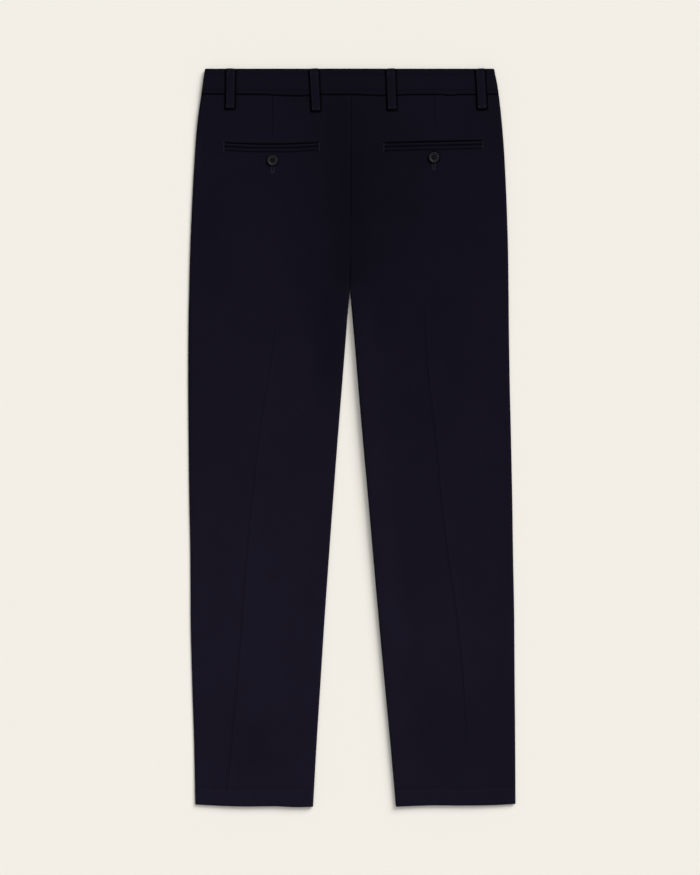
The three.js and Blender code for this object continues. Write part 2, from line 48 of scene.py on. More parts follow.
garment = {
    "length": 1084.5,
    "bandSeam": 1046.2,
    "crotchUp": 760.0,
    "seamGap": 0.3,
    "hemDepth": 24.5,
    "stitchUp": 23.0,  # the stitch line of the hem
    "hemReach": 70.0,
    "cloth": 0.9,      # one layer of twill
    "hemLayer": 1.7,   # how far inside the turned-up layer's face lies
    "loopLift": 1.6,   # the front belt loops hold the waistband this far off the floor
    "flyRise": 1.0,
    "flyWidth": 50.0,
    "frontDip": 18.0,
    "centreFront": -1.0,
}
middleUp = garment["length"] / 2

# the laid outline: distances from the middle line at each height
outlineColumns = ("up", "leftOut", "leftCrease", "leftIn", "rightIn", "rightCrease", "rightOut")
outlineRows = [
    (0, -230, -185, -56.5, 65, 175, 241.2),
    (98, -232, -175, -50.9, 56.2, 170.5, 240.8),
    (186, -234.8, -167, -45.3, 47.9, 165, 240),
    (275, -236.9, -160, -39.6, 39.7, 156.5, 239.4),
    (363, -237.3, -153.5, -33.4, 31.9, 143.5, 237.8),
    (451, -238.9, -145, -27, 24.3, 133, 236.5),
    (539, -239.9, -135.5, -20.3, 16.3, 125, 234.7),
    (627, -240.5, -121.5, -13.2, 8.8, 114.5, 232.7),
    (671, -240.4, -115, -9.7, 5.2, 111, 232),
    (716, -240, -111, -6.2, 1.2, 109, 231.4),
    (742, -239.5, -111, -4, -1.1, 110, 231.2),
    (758, -239.1, -111, -2.6, -2.5, 110, 231),
    (804, -238, -112, -1.6, -1.6, 112, 230.5),
    (870, -235.5, -114, -1, -1, 116, 228.7),
    (958, -230.7, -116.9, -1, -1, 120.5, 224.7),
    (1002, -227.2, -117.1, -1, -1, 121, 221.3),
    (1048, -220.9, -117.1, -1, -1, 121, 216.2),
    (1084.5, -215.6, -117.1, -1, -1, 121, 209.6),
]
# how high the back lies in the middle of a leg and by its two edges, and the valley beside the centre seam
layColumns = ("up", "middle", "leftOuter", "rightOuter", "leftInner", "rightInner", "valley")
layRows = [
    (0, 5.8, 4.4, 5, 6, 6.4, 0),
    (26, 5.3, 3.9, 4.5, 5.8, 6.7, 0),
    (100, 4.3, 2.9, 3.4, 5, 7.2, 0),
    (300, 4.3, 2.9, 3.4, 5.2, 8.0, 0),
    (450, 4.3, 2.9, 3.4, 5.3, 9.4, 0),
    (620, 4.8, 3.1, 3.9, 6.6, 10.4, 0.4),
    (710, 5.3, 3.3, 4.4, 7.6, 10.6, 1.0),
    (744, 5.6, 3.4, 4.6, 7.6, 9.6, 1.2),
    (770, 5.8, 3.6, 4.8, 6.6, 7.0, 1.3),
    (860, 6.3, 4.1, 5.8, 6.3, 6.3, 1.1),
    (960, 6.7, 4.9, 6.4, 6.7, 6.7, 0.4),
    (1048, 6.9, 6.9, 6.9, 6.9, 6.9, 0),
]
# how far the hems' edges lie above the legs' measured end, from a leg's inner edge to its outer one
hemColumns = ("share", "left", "right")
hemRows = [
    (0, -1, -0.8),
    (0.14, -1.4, 0.3),
    (0.34, -0.1, 1.2),
    (0.58, -0.5, 0.9),
    (0.78, 0.4, 1.4),
    (1, 2.3, 3.1),
]
sides = {
    "left": {
        "out": "leftOut", "crease": "leftCrease", "in": "leftIn",
        "highOut": "leftOuter", "highIn": "leftInner", "rollOut": 7.0, "rollIn": 3.6, "outward": -1,
    },
    "right": {
        "out": "rightOut", "crease": "rightCrease", "in": "rightIn",
        "highOut": "rightOuter", "highIn": "rightInner", "rollOut": 4.5, "rollIn": 2.2, "outward": 1,
    },
}


def mix(a, b, t):
    return a + (b - a) * t


def smooth(value, low, high):
    t = min(1.0, max(0.0, (value - low) / (high - low)))
    return t * t * (3 - 2 * t)


def bell(distance, width):
    return math.exp(-((distance / width) ** 2))


def spread(low, high, count):
    return [mix(low, high, i / count) for i in range(count + 1)]


# a smooth value between a table's rows, which never overshoots them
def tableValue(rows, column, up):
    last = len(rows) - 1
    if up <= rows[0][0]:
        return rows[0][column]
    if up >= rows[last][0]:
        return rows[last][column]
    i = next(k for k in range(last) if rows[k + 1][0] > up)

    def slope(k):
        return (rows[k + 1][column] - rows[k][column]) / (rows[k + 1][0] - rows[k][0])

    def tangent(k):
        if k == 0 or k == last:
            return slope(0 if k == 0 else last - 1)
        before, after = slope(k - 1), slope(k)
        return 0 if before * after <= 0 else 2 * before * after / (before + after)

    step = rows[i + 1][0] - rows[i][0]
    t = (up - rows[i][0]) / step
    return (rows[i][column] * (2 * t**3 - 3 * t**2 + 1) + tangent(i) * step * (t**3 - 2 * t**2 + t)
            + rows[i + 1][column] * (3 * t**2 - 2 * t**3) + tangent(i + 1) * step * (t**3 - t**2))


# every column sampled once a millimetre, so that a look-up is quick
samples = {}
for columns, rows in ((outlineColumns, outlineRows), (layColumns, layRows)):
    for number, column in enumerate(columns[1:], start=1):
        samples[column] = [tableValue(rows, number, up) for up in range(1087)]


def at(column, up):
    up = min(1085.0, max(0.0, up))
    low = int(up)
    values = samples[column]
    return mix(values[low], values[low + 1], up - low)


# the camera looks straight down, as in the photograph
view = {"pixel": 1.47, "middleX": 350 - 351.6, "height": 3.6, "above": 6.0}
bpy.ops.object.select_all(action="DESELECT")
cameraPlace = (view["middleX"] * view["pixel"] * mm, 0, view["height"])
bpy.ops.object.camera_add(location=cameraPlace, rotation=(0, 0, 0))
camera = bpy.context.object
camera.name = "photoCamera"
camera.data.sensor_width = 36
camera.data.lens = 36 * (view["height"] - view["above"] * mm) / (875 * view["pixel"] * mm)
bpy.context.scene.camera = camera
print("camera set, lens", round(camera.data.lens, 1))

# the soft folds of the solids: each one's start and end (x, up), its depth and its width
folds = {
    "left": [
        ((-58, 730), (-48, 560), 0.6, 20),
        ((-96, 300), (-112, 90), 0.4, 18),
    ],
    "right": [
        ((58, 480), (92, 190), 0.55, 13),
        ((211, 500), (222, 150), 0.45, 11),
        ((60, 800), (108, 760), 0.4, 18),
    ],
}
# smaller wrinkles, written in the same way: ridges where the depth is below 0
backWrinkles = {
    "left": [
        ((-10, 772), (-104, 842), 0.42, 9),
        ((-8, 741), (-122, 768), 0.34, 8),
        ((-20, 716), (-84, 655), 0.30, 10),
        ((-228, 905), (-231, 610), 0.40, 7),
        ((-196, 930), (-176, 800), -0.28, 12),
        ((-88, 938), (-70, 856), 0.24, 9),
        ((-208, 566), (-132, 512), 0.26, 11),
        ((-44, 498), (-96, 441), -0.24, 12),
        ((-214, 356), (-188, 205), 0.28, 13),
        ((-78, 196), (-66, 62), -0.22, 10),
    ],
    "right": [
        ((8, 768), (92, 828), 0.44, 10),
        ((10, 736), (134, 752), 0.30, 8),
        ((22, 700), (70, 634), 0.32, 9),
        ((221, 880), (225, 668), 0.34, 7),
        ((188, 922), (166, 812), 0.24, 11),
        ((76, 946), (60, 870), -0.22, 9),
        ((196, 588), (138, 540), -0.26, 12),
        ((38, 520), (104, 468), 0.28, 10),
        ((206, 130), (188, 40), 0.22, 9),
        ((84, 150), (112, 58), 0.26, 11),
    ],
}
frontWrinkles = {
    "left": [
        ((-10, 770), (-112, 822), 0.36, 10),
        ((-12, 742), (-118, 738), 0.30, 8),
        ((-180, 880), (-150, 770), 0.22, 12),
        ((-198, 570), (-118, 524), 0.26, 11),
        ((-60, 470), (-122, 410), 0.22, 12),
        ((-206, 260), (-176, 120), 0.26, 12),
    ],
    "right": [
        ((10, 766), (106, 812), 0.34, 9),
        ((12, 738), (128, 744), 0.28, 9),
        ((186, 866), (158, 756), 0.22, 12),
        ((188, 560), (120, 506), 0.26, 10),
        ((48, 486), (110, 436), 0.24, 12),
        ((96, 240), (120, 96), 0.24, 11),
    ],
}
crease = {
    "left": {"foot": (2, 40), "head": (640, 745)},
    "right": {"foot": (50, 150), "head": (670, 780)},
    "height": 0.68, "steep": 0.9, "gentle": 5.0,
}
backPocket = {
    "left": {"x": (-188.0, -47.5), "slit": (969.8, 967.3, 970.0), "button": (-116.1, 949.5)},
    "right": {"x": (47.3, 192.7), "slit": (969.2, 970.9, 972.8), "button": (121.0, 953.8)},
}
welt = {"bed": 1.25, "wall": (5.65, 6.25), "cloth": 0.5, "endStitch": -50.9}
dart = {
    "left": {"x": (-117.1, -116.9), "foot": 977.0, "fold": 7.0, "foldFoot": 985.0},
    "right": {"x": (122.4, 120.9), "foot": 979.0, "fold": 6.0, "foldFoot": 1010.0},
}
backLoops = {
    "OuterLeft": {"node": "belt_loop_back_outer_left", "topX": -177.6, "endX": -178.6, "endUp": 1025.5},
    "InnerLeft": {"node": "belt_loop_back_inner_left", "topX": -55.5, "endX": -52.1, "endUp": 1022.0},
    "InnerRight": {"node": "belt_loop_back_inner_right", "topX": 57.2, "endX": 59.6, "endUp": 1024.0},
    "OuterRight": {"node": "belt_loop_back_outer_right", "topX": 188.6, "endX": 192.0, "endUp": 1025.0},
}
frontLoops = {
    "Left": {"node": "belt_loop_front_left", "x": -132.0},
    "Right": {"node": "belt_loop_front_right", "x": 130.0},
}
loopShape = {
    "width": 13.0, "strap": 1.1, "bend": 1.2, "high": 2.5, "sag": 0.35, "turned": 8.0,
    "rows": (-4.6, 4.6), "tack": 5.4, "headTack": 7.5,
}
# each pocket button's hole: its ends below and above the button's middle, and how far out its lips lie
buttonhole = {"foot": 17.0, "head": 3.0, "lip": 1.5}


def foldDepth(side, x, up):
    depth = 0.0
    for (startX, startUp), (endX, endUp), deep, wide in folds[side]:
        along = (up - startUp) / (endUp - startUp)
        if 0 < along < 1:
            away = x - mix(startX, endX, along)
            depth += deep * math.sin(math.pi * along) ** 0.7 * bell(away, wide)
    return depth


def wrinkleDepth(wrinkles, x, up):
    depth = 0.0
    for (startX, startUp), (endX, endUp), deep, wide in wrinkles:
        runX, runUp = endX - startX, endUp - startUp
        along = ((x - startX) * runX + (up - startUp) * runUp) / (runX**2 + runUp**2)
        if 0 < along < 1:
            away = ((x - startX) * runUp - (up - startUp) * runX) / math.hypot(runX, runUp)
            depth += deep * math.sin(math.pi * along) * bell(away, wide)
    return depth


# how sharply a leg's crease is pressed
def creasePressed(side, up):
    return smooth(up, *crease[side]["foot"]) * (1 - smooth(up, *crease[side]["head"]))


def buttonLift(x):
    return garment["flyRise"] * bell(x - garment["centreFront"], garment["flyWidth"])


# how far a leg's two edges and the valley beside the centre seam reach across it
layReach = {"outer": 34, "inner": 24, "valley": 42}


# the main form of the back, as on the solids
def backForm(side, x, up):
    line = sides[side]
    fromOut = abs(x - at(line["out"], up))
    fromIn = abs(x - at(line["in"], up))
    middle = at("middle", up)
    outer = (at(line["highOut"], up) - middle) * bell(fromOut - line["rollOut"], layReach["outer"])
    inner = (at(line["highIn"], up) - middle) * bell(fromIn - line["rollIn"], layReach["inner"])
    valley = at("valley", up) * bell(fromIn, layReach["valley"])
    fly = buttonLift(x) * smooth(up, 900, 1010)
    return middle + outer + inner - valley + fly - foldDepth(side, x, up)


def slitUp(side, x):
    pocket = backPocket[side]
    x = min(max(x, pocket["x"][0]), pocket["x"][1])
    t = (x - pocket["x"][0]) / (pocket["x"][1] - pocket["x"][0])
    start, middle, end = pocket["slit"]
    return start * (1 - t) * (1 - 2 * t) + middle * 4 * t * (1 - t) + end * t * (2 * t - 1)


def loopAxis(loop, up):
    return mix(loop["topX"], loop["endX"], (garment["length"] - up) / (garment["length"] - loop["endUp"]))


# a dart leans a little, from its foot to the waist seam
def dartX(side, up):
    foot, head = dart[side]["x"]
    return mix(foot, head, smooth(up, dart[side]["foot"], garment["bandSeam"]))


# how much lower than level the back's waist seam is sewn: x from left to right, and the drop
seamRows = [
    (-221, -0.2), (-213, -1.1), (-203, -0.8), (-171, -0.4), (-135, -0.2), (-105, 1.2), (-78, 1.9), (-62, 1.3),
    (-46, 0), (0, -0.1), (27, 1.0), (42, 1.6), (68, 1.0), (86, 0), (130, -0.1), (145, 1.2), (160, 0),
    (195, -0.2), (209, -0.7), (217, -0.1),
]
seamReach = 26.0    # and the cloth under it is level again this far down


def seamDrop(x):
    return tableValue(seamRows, 1, x)


def clothDrop(x, up):
    return seamDrop(x) * smooth(up, garment["bandSeam"] - seamReach, garment["bandSeam"])


# the cloth is pressed in around each belt loop, and the same bell lays painted shade beside each loop
def besideLoops(x, up, wide=1.1):
    dent = 0.0
    for loop in backLoops.values():
        across = max(0.0, abs(x - loopAxis(loop, up)) - loopShape["width"] / 2)
        if across < 5:
            dent = max(dent, bell(math.hypot(across, max(0.0, loop["endUp"] - up)) - 0.9, wide))
    return dent


# how plainly the centre seam shows: down to the crotch from the waist, and faint where the seat was worn smooth
def seamPlain(up):
    sewn = smooth(up, garment["crotchUp"] - 6, garment["crotchUp"] + 14)
    worn = (1 - smooth(up, 850, 905)) * smooth(up, 788, 806)
    return sewn * (1 - 0.62 * worn)


# how far sewing and pressing sink the cloth of the back or raise it
relief = {
    "wave": 0.22, "ripple": 0.10, "centreSeam": 0.75, "seamTurnings": 0.32, "waistSeam": 0.8, "besideLoops": 0.6,
    "hemLayer": 0.25, "stitchLine": 0.35, "dart": 0.5, "dartTurnings": 0.28, "pocketTurnings": 0.25, "slit": 0.6,
}


# the dart, with its turnings pressed to the right
def dartDetail(side, x, up):
    fold = dart[side]
    toFold = x - dartX(side, up)
    sewn = smooth(up, fold["foot"], fold["foot"] + 14)
    turnings = smooth(up, fold["foldFoot"], fold["foldFoot"] + 8)
    turnings *= smooth(toFold, 0, 1.4) * (1 - smooth(toFold, fold["fold"], fold["fold"] + 1.4))
    return relief["dartTurnings"] * turnings - relief["dart"] * bell(toFold, 0.8) * sewn


# the bed of the back pocket's welts, the turnings around it and the slit of the buttonhole
def pocketDetail(side, x, up):
    pocket = backPocket[side]
    bed, top = welt["wall"]
    off = abs(up - slitUp(side, x)) - bed
    outside = max(off, pocket["x"][0] - 0.4 - x, x - pocket["x"][1] - 0.4)
    z = 0.0
    if outside < 8:
        z -= welt["bed"] * (1 - smooth(outside, 0, top - bed))
        z += relief["pocketTurnings"] * (1 - smooth(outside, 4.5, 7.0))
    buttonX, buttonUp = pocket["button"]
    if abs(x - buttonX) < 3 and up < 975:
        foot = buttonUp - buttonhole["foot"]
        z -= relief["slit"] * bell(x - buttonX, 0.45) * smooth(up, foot - 0.5, foot + 0.5)
    return z


# what sewing and pressing add to the back's form
def backDetail(side, x, up):
    line = sides[side]
    fromIn = abs(x - at(line["in"], up))
    z = dartDetail(side, x, up) + pocketDetail(side, x, up) - wrinkleDepth(backWrinkles[side], x, up)
    # soft waves that run along the leg
    z += relief["wave"] * noise.noise(Vector((x / 34, up / 120, line["outward"] * 3.1)))
    z += relief["ripple"] * noise.noise(Vector((x / 12, up / 40, line["outward"] * 7.7)))
    # the pressed crease, steep on the side away from the light
    toRight = x - at(line["crease"], up)
    run = crease["gentle"] if toRight > 0 else crease["steep"]
    z += crease["height"] * creasePressed(side, up) * math.exp(-abs(toRight) / run)
    # the centre seam and the turnings pressed to the left of it
    z -= relief["centreSeam"] * bell(fromIn, 1.0) * seamPlain(up)
    if side == "left":
        z += relief["seamTurnings"] * (1 - smooth(fromIn, 4.4, 5.8)) * smooth(up, 880, 905)
    # the waist seam and the belt loops
    z -= relief["waistSeam"] * bell(garment["bandSeam"] - up, 1.5)
    z -= relief["besideLoops"] * besideLoops(x, up) if up > 1010 else 0
    # the hem's double layer and its stitch line
    z += relief["hemLayer"] * (1 - smooth(up, garment["hemDepth"] - 0.6, garment["hemDepth"] + 1.6))
    return z - relief["stitchLine"] * bell(up - garment["stitchUp"], 0.8)


def backSurface(side, x, up):
    return backForm(side, x, up) + backDetail(side, x, up)


# patches of painted shade where the cloth is painted a little darker, and of painted sheen (below 0) along the
# left hip's edge: the place's middle (x, up), its reach both ways and how much deeper it is
paintedShadeAndSheen = [
    ((222, 300), (30, 420), 0.10),
    ((95, 560), (110, 330), 0.14),
    ((170, 260), (120, 300), 0.07),
    ((205, 1010), (46, 70), 0.12),
    ((120, 80), (130, 90), 0.15),
    ((-150, 90), (70, 60), 0.14),
    ((110, 900), (90, 90), 0.10),
    ((-34, 690), (30, 90), 0.18),
    ((0, 800), (26, 70), 0.16),
    ((-22, 930), (16, 110), 0.10),
    ((10, 930), (14, 110), 0.12),
    ((-238, 620), (8, 240), 0.12),
    ((-207, 965), (16, 50), -0.06),
    ((-231, 962), (7, 34), -0.7),
]


# painted shade in the seams and edges: the centre seam, the crease's shaded side, the dart, the lower welt, around
# the button and in the buttonhole's slit; and soft lines of painted shade and painted highlight (below 0) beside
# the hem and the centre seam's turnings: where each one's middle is, its width and how deep it is
paintedShadeLines = {
    "centreSeam": 0.5, "crease": 0.1, "dart": 0.12, "lowerWelt": 0.45, "aroundButton": 0.95, "slit": 0.7,
    "hem": [(27.6, 1.1, 0.2), (23.6, 1.2, -0.2)],
    "turnings": [(5.4, 1.0, 0.22), (2.8, 1.1, -0.16), (9.6, 1.0, 0.12)],
}


def softLines(lines, place):
    return sum(deep * bell(place - middle, wide) for middle, wide, deep in lines)


# painted shade: the dark lines above and below the back pocket's welts, around its button and in the buttonhole
def pocketPaintedShade(side, x, up):
    pocket = backPocket[side]
    off = up - slitUp(side, x)
    share = (x - pocket["x"][0]) / (pocket["x"][1] - pocket["x"][0])
    deep = 0.0
    if -0.006 < share < 1.006:
        if off > 0:
            deep = bell(off - 6.2, 0.9 + 0.7 * math.sin(math.pi * min(1.0, max(0.0, share))))
        else:
            deep = paintedShadeLines["lowerWelt"] * bell(off + 6.0, 0.85)
    buttonX, buttonUp = pocket["button"]
    deep = max(deep, paintedShadeLines["aroundButton"] * bell(math.hypot(x - buttonX, up - buttonUp) - 8.4, 1.0))
    if up < buttonUp:
        foot = buttonUp - buttonhole["foot"]
        deep = max(deep, paintedShadeLines["slit"] * bell(x - buttonX, 0.5) * smooth(up, foot - 0.5, foot + 0.5))
    return deep


# painted shade and painted light on the back's cloth: painted shade in its seams, beside the belt loops and the
# waist seam, along the hem, on the crease's shaded side and in soft patches, and painted highlight (below 0) where
# the cloth stands up
def backPaintedShade(side, x, up):
    deep = 0.0
    if up > 1010:
        deep = max(besideLoops(x, up, 1.4), bell(garment["bandSeam"] - up, 1.4))
    fromIn = abs(x - at(sides[side]["in"], up))
    deep = max(deep, paintedShadeLines["centreSeam"] * bell(fromIn, 1.0) * seamPlain(up))
    if up < 34:
        deep += softLines(paintedShadeLines["hem"], up) * (1 + noise.noise(Vector((x / 7, 2, 0))))
    # painted shade on the crease's shaded left side
    toCrease = x - at(sides[side]["crease"], up) + 1.2
    deep += paintedShadeLines["crease"] * creasePressed(side, up) * bell(toCrease, 1.5)
    sewn = smooth(up, dart[side]["foot"], dart[side]["foot"] + 30)
    deep = max(deep, paintedShadeLines["dart"] * bell(x - dartX(side, up), 0.8) * sewn, pocketPaintedShade(side, x, up))
    for (middleX, middle), (wide, high), tone in paintedShadeAndSheen:
        away = math.hypot((x - middleX) / wide, (up - middle) / high)
        if away < 2.2:
            deep += tone * math.exp(-away * away)
    if side == "left":
        deep += softLines(paintedShadeLines["turnings"], fromIn) * smooth(up, 830, 905)
    return deep


def frontHeight(x, up):
    return (garment["loopLift"] + buttonLift(x)) * smooth(up, 955, 1018)


# the front's outer face looks down, so its troughs go up
def frontSurface(side, x, up):
    detail = wrinkleDepth(frontWrinkles[side], x, up)
    detail += 0.5 * bell(garment["bandSeam"] - up, 1.5)
    detail += 0.3 * bell(up - garment["stitchUp"], 0.8)
    return frontHeight(x, up) + detail


def waistDip(x):
    half = at("leftOut" if x < 0 else "rightOut", garment["bandSeam"])
    return garment["frontDip"] * (1 - min(1.0, (x / half) ** 2)) ** 2


# how far along the trousers a point of a panel lies
def panelY(side, x, up, isBack):
    line = sides[side]
    y = up - middleUp
    if isBack:
        y -= clothDrop(x, up)
    else:
        y -= waistDip(x) * smooth(up, 900, garment["bandSeam"])
    if up < garment["hemReach"]:
        share = (x - at(line["in"], up)) / (at(line["out"], up) - at(line["in"], up))
        y += tableValue(hemRows, hemColumns.index(side), share) * (1 - smooth(up, 0, garment["hemReach"]))
    return y


# and the height along the leg of a point that lies at y on the back
def backUp(x, y):
    up = y + middleUp
    for _ in range(3):
        up = y + middleUp + clothDrop(x, up)
    return up


# lays a point of the flat cloth on a panel's outer face
def onPanel(side, isBack):
    surface = backSurface if isBack else frontSurface
    return lambda x, up: Vector((x, panelY(side, x, up, isBack), surface(side, x, up)))


def activate(obj):
    bpy.ops.object.select_all(action="DESELECT")
    obj.select_set(True)
    bpy.context.view_layer.objects.active = obj


# a flat grid whose points are laid one by one: place(i, j) gives the point, its place in the flat cloth and its
# painted shade, which is a painted highlight below 0
def layGrid(name, across, along, place):
    bpy.ops.object.select_all(action="DESELECT")
    bpy.ops.mesh.primitive_grid_add(x_subdivisions=across, y_subdivisions=along, size=1)
    obj = bpy.context.object
    obj.name = obj.data.name = name
    flat = []
    pressed = []
    for vert in obj.data.vertices:
        point, cut, *deep = place(round((vert.co.x + 0.5) * across), round((vert.co.y + 0.5) * along))
        vert.co = Vector(point) * mm
        flat.append((cut[0] * mm, cut[1] * mm))
        pressed.append(deep[0] if deep else 0.0)
    uvLayer = obj.data.uv_layers.active.data
    for loop in obj.data.loops:
        uvLayer[loop.index].uv = flat[loop.vertex_index]
    obj.data.attributes.new("pressed", "FLOAT", "POINT").data.foreach_set("value", pressed)
    obj.data.update()
    return obj


# turns an open sheet round if its face nearest to a point looks the wrong way
def faceSheet(obj, near, lookingUp):
    point = Vector(near) * mm
    nearest = min(obj.data.polygons, key=lambda face: (face.center - point).length)
    if (nearest.normal.z > 0) != lookingUp:
        activate(obj)
        bpy.ops.object.mode_set(mode="EDIT")
        bpy.ops.mesh.select_all(action="SELECT")
        bpy.ops.mesh.flip_normals()
        bpy.ops.object.mode_set(mode="OBJECT")


def applyModifier(obj, kind, **values):
    activate(obj)
    bpy.ops.object.modifier_add(type=kind)
    modifier = obj.modifiers[-1]
    for key, value in values.items():
        setattr(modifier, key, value)
    bpy.ops.object.modifier_apply(modifier=modifier.name)


def thicken(obj, thickness):
    applyModifier(obj, "SOLIDIFY", thickness=thickness * mm, offset=-1, use_quality_normals=True)


def roundEdges(obj, width, segments=2, degrees=60):
    applyModifier(obj, "BEVEL", limit_method="ANGLE", angle_limit=math.radians(degrees), width=width * mm,
                  segments=segments, use_clamp_overlap=True)


def shadeRound(obj, degrees):
    activate(obj)
    bpy.ops.object.shade_smooth_by_angle(angle=math.radians(degrees))


def selectFaces(obj, wanted):
    activate(obj)
    bpy.ops.object.mode_set(mode="EDIT")
    bpy.ops.mesh.select_mode(type="FACE")
    bpy.ops.mesh.select_all(action="DESELECT")
    bpy.ops.object.mode_set(mode="OBJECT")
    for face in obj.data.polygons:
        face.select = wanted(face)
    bpy.ops.object.mode_set(mode="EDIT")


def ride(obj, slotName, *nodes):
    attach(obj, body)
    if nodes:
        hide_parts(*nodes)
    return obj


# materials
def nodeTree(name):
    material = bpy.data.materials.new(name)
    material.use_nodes = True
    tree = material.node_tree
    return material, tree, tree.nodes["Principled BSDF"]


# gives a node's input a value, or joins it to another node's output
def plug(tree, socket, value):
    if isinstance(value, bpy.types.NodeSocket):
        tree.links.new(value, socket)
    else:
        socket.default_value = value


def feed(tree, node, **values):
    for key, value in values.items():
        plug(tree, node.inputs[key.replace("_", " ")], value)


def addNode(tree, kind, **values):
    node = tree.nodes.new(kind)
    for key, value in values.items():
        if hasattr(node, key):
            setattr(node, key, value)
        else:
            feed(tree, node, **{key: value})
    return node


def addRange(tree, source, fromMin, fromMax, toMin, toMax):
    node = addNode(tree, "ShaderNodeMapRange", Value=source, From_Min=fromMin, From_Max=fromMax,
                   To_Min=toMin, To_Max=toMax)
    return node.outputs["Result"]


def addMath(tree, operation, *values):
    node = addNode(tree, "ShaderNodeMath", operation=operation)
    for socket, value in zip(node.inputs, values):
        plug(tree, socket, value)
    return node.outputs["Value"]


twill = {
    "colour": (0.0066, 0.0054, 0.0118),
    "dark": (0.0040, 0.0032, 0.0074),
    "rib": 0.72,         # from one diagonal rib to the next
    "lean": 62,
    "thread": 0.42,
    "bump": 0.35,
    "roughness": 0.9,
    "gloss": 0.03,
    "sheen": 0.02,
    "sheenTint": (0.35, 0.33, 0.5, 1),
    "mottle": 0.24,
    "waistPaintedShade": 0.78,     # painted shade at the waist and painted light at the hems, as factors on the cloth's colour
    "hemPaintedLight": 1.32,
    "seatPaintedShade": 0.26,    # painted shade: the seat's middle is painted this much darker
    "pressedFade": 0.96,  # and the painted shade in a sharp seam this much
}


# a diagonal twill weave in the cloth's own flat sizes
def twillMaterial(name, turned=0.0, shade=1.0):
    material, tree, shader = nodeTree(name)
    flat = addNode(tree, "ShaderNodeUVMap").outputs["UV"]
    lean = (0, 0, math.radians(90 - twill["lean"] + turned))
    turn = addNode(tree, "ShaderNodeMapping", Vector=flat, Rotation=lean).outputs["Vector"]
    waves = []
    for axis, pitch, distortion in (("X", twill["rib"], 0.6), ("Y", twill["thread"], 0.8)):
        wave = addNode(tree, "ShaderNodeTexWave", bands_direction=axis, Vector=turn, Detail=1.0,
                       Scale=0.314 / (pitch * mm), Distortion=distortion)
        waves.append(wave.outputs["Fac"])
    weave = addMath(tree, "ADD", addMath(tree, "MULTIPLY", waves[1], 0.35), waves[0])
    dark, colour = ([c * shade for c in twill[key]] + [1] for key in ("dark", "colour"))
    lit = addRange(tree, weave, 0.1, 1.1, 0.45, 1.0)
    tone = addNode(tree, "ShaderNodeMix", data_type="RGBA", A=dark, B=colour, Factor=lit)
    # painted light and painted shade: the cloth is painted paler towards the hems, darker towards the waist, and
    # darkest in the middle of the seat, where the valley lies in shade
    place = addNode(tree, "ShaderNodeTexCoord").outputs["Object"]
    along = addNode(tree, "ShaderNodeSeparateXYZ", Vector=place).outputs["Y"]
    paintedLightRamp = addRange(tree, along, -0.25, 0.45, twill["hemPaintedLight"], twill["waistPaintedShade"])
    oval = addNode(tree, "ShaderNodeMapping", Vector=place, Scale=(1.9, 0.75, 0)).outputs["Vector"]
    away = addNode(tree, "ShaderNodeVectorMath", operation="DISTANCE", Vector=oval)
    away.inputs[1].default_value = (0.0, 0.27, 0)
    deep = addRange(tree, away.outputs["Value"], 0.02, 0.22, 1 - twill["seatPaintedShade"], 1.0)
    cloud = addNode(tree, "ShaderNodeTexNoise", Vector=place, Scale=9.0, Detail=5.0, Roughness=0.72)
    mottle = addRange(tree, cloud.outputs["Fac"], 0, 1, 1 - twill["mottle"], 1 + twill["mottle"])
    # painted shade and painted highlight from the mesh's attribute darken or lighten the colour
    pressed = addNode(tree, "ShaderNodeAttribute", attribute_name="pressed")
    paintedShadeFactor = addMath(tree, "SUBTRACT", 1.0, addMath(tree, "MULTIPLY", pressed.outputs["Fac"], twill["pressedFade"]))
    paintedGradients = addMath(tree, "MULTIPLY", paintedLightRamp, deep)
    mottleAndPaintedShade = addMath(tree, "MULTIPLY", mottle, paintedShadeFactor)
    scale = addNode(tree, "ShaderNodeVectorMath", operation="SCALE", Vector=tone.outputs["Result"],
                    Scale=addMath(tree, "MULTIPLY", paintedGradients, mottleAndPaintedShade))
    # the weave with a few thicker threads stands up
    slub = addNode(tree, "ShaderNodeTexNoise", Vector=flat, Scale=420.0, Detail=2.0, Roughness=0.7)
    high = addMath(tree, "ADD", addMath(tree, "MULTIPLY", slub.outputs["Fac"], 0.5), weave)
    bump = addNode(tree, "ShaderNodeBump", Strength=twill["bump"], Distance=0.00018, Height=high)
    feed(tree, shader, Base_Color=scale.outputs["Vector"], Normal=bump.outputs["Normal"],
         Roughness=twill["roughness"], Specular_IOR_Level=twill["gloss"], Sheen_Weight=twill["sheen"],
         Sheen_Roughness=0.5, Sheen_Tint=twill["sheenTint"])
    return material


# a spotted material on Object coordinates, for thread, horn, tape and metal
def grainMaterial(name, low, high, grain, roughness, gloss, bump=0.2, metal=0.0):
    material, tree, shader = nodeTree(name)
    place = addNode(tree, "ShaderNodeTexCoord").outputs["Object"]
    spots = addNode(tree, "ShaderNodeTexNoise", Vector=place, Scale=1000 / grain, Detail=3.0,
                    Roughness=0.6, Distortion=0.6).outputs["Fac"]
    tone = addNode(tree, "ShaderNodeMix", data_type="RGBA", A=(*low, 1), B=(*high, 1),
                   Factor=addRange(tree, spots, 0.3, 0.7, 0, 1))
    # the buttons carry painted shade and painted highlights in this attribute
    pressed = addNode(tree, "ShaderNodeAttribute", attribute_name="pressed")
    scale = addNode(tree, "ShaderNodeVectorMath", operation="SCALE", Vector=tone.outputs["Result"],
                    Scale=addMath(tree, "SUBTRACT", 1.0, pressed.outputs["Fac"]))
    rough = addRange(tree, spots, 0.3, 0.7, roughness * 0.9, roughness * 1.1)
    grained = addNode(tree, "ShaderNodeBump", Strength=bump, Distance=0.00008, Height=spots)
    feed(tree, shader, Base_Color=scale.outputs["Vector"], Roughness=rough, Normal=grained.outputs["Normal"],
         Specular_IOR_Level=gloss, Metallic=metal)
    return material
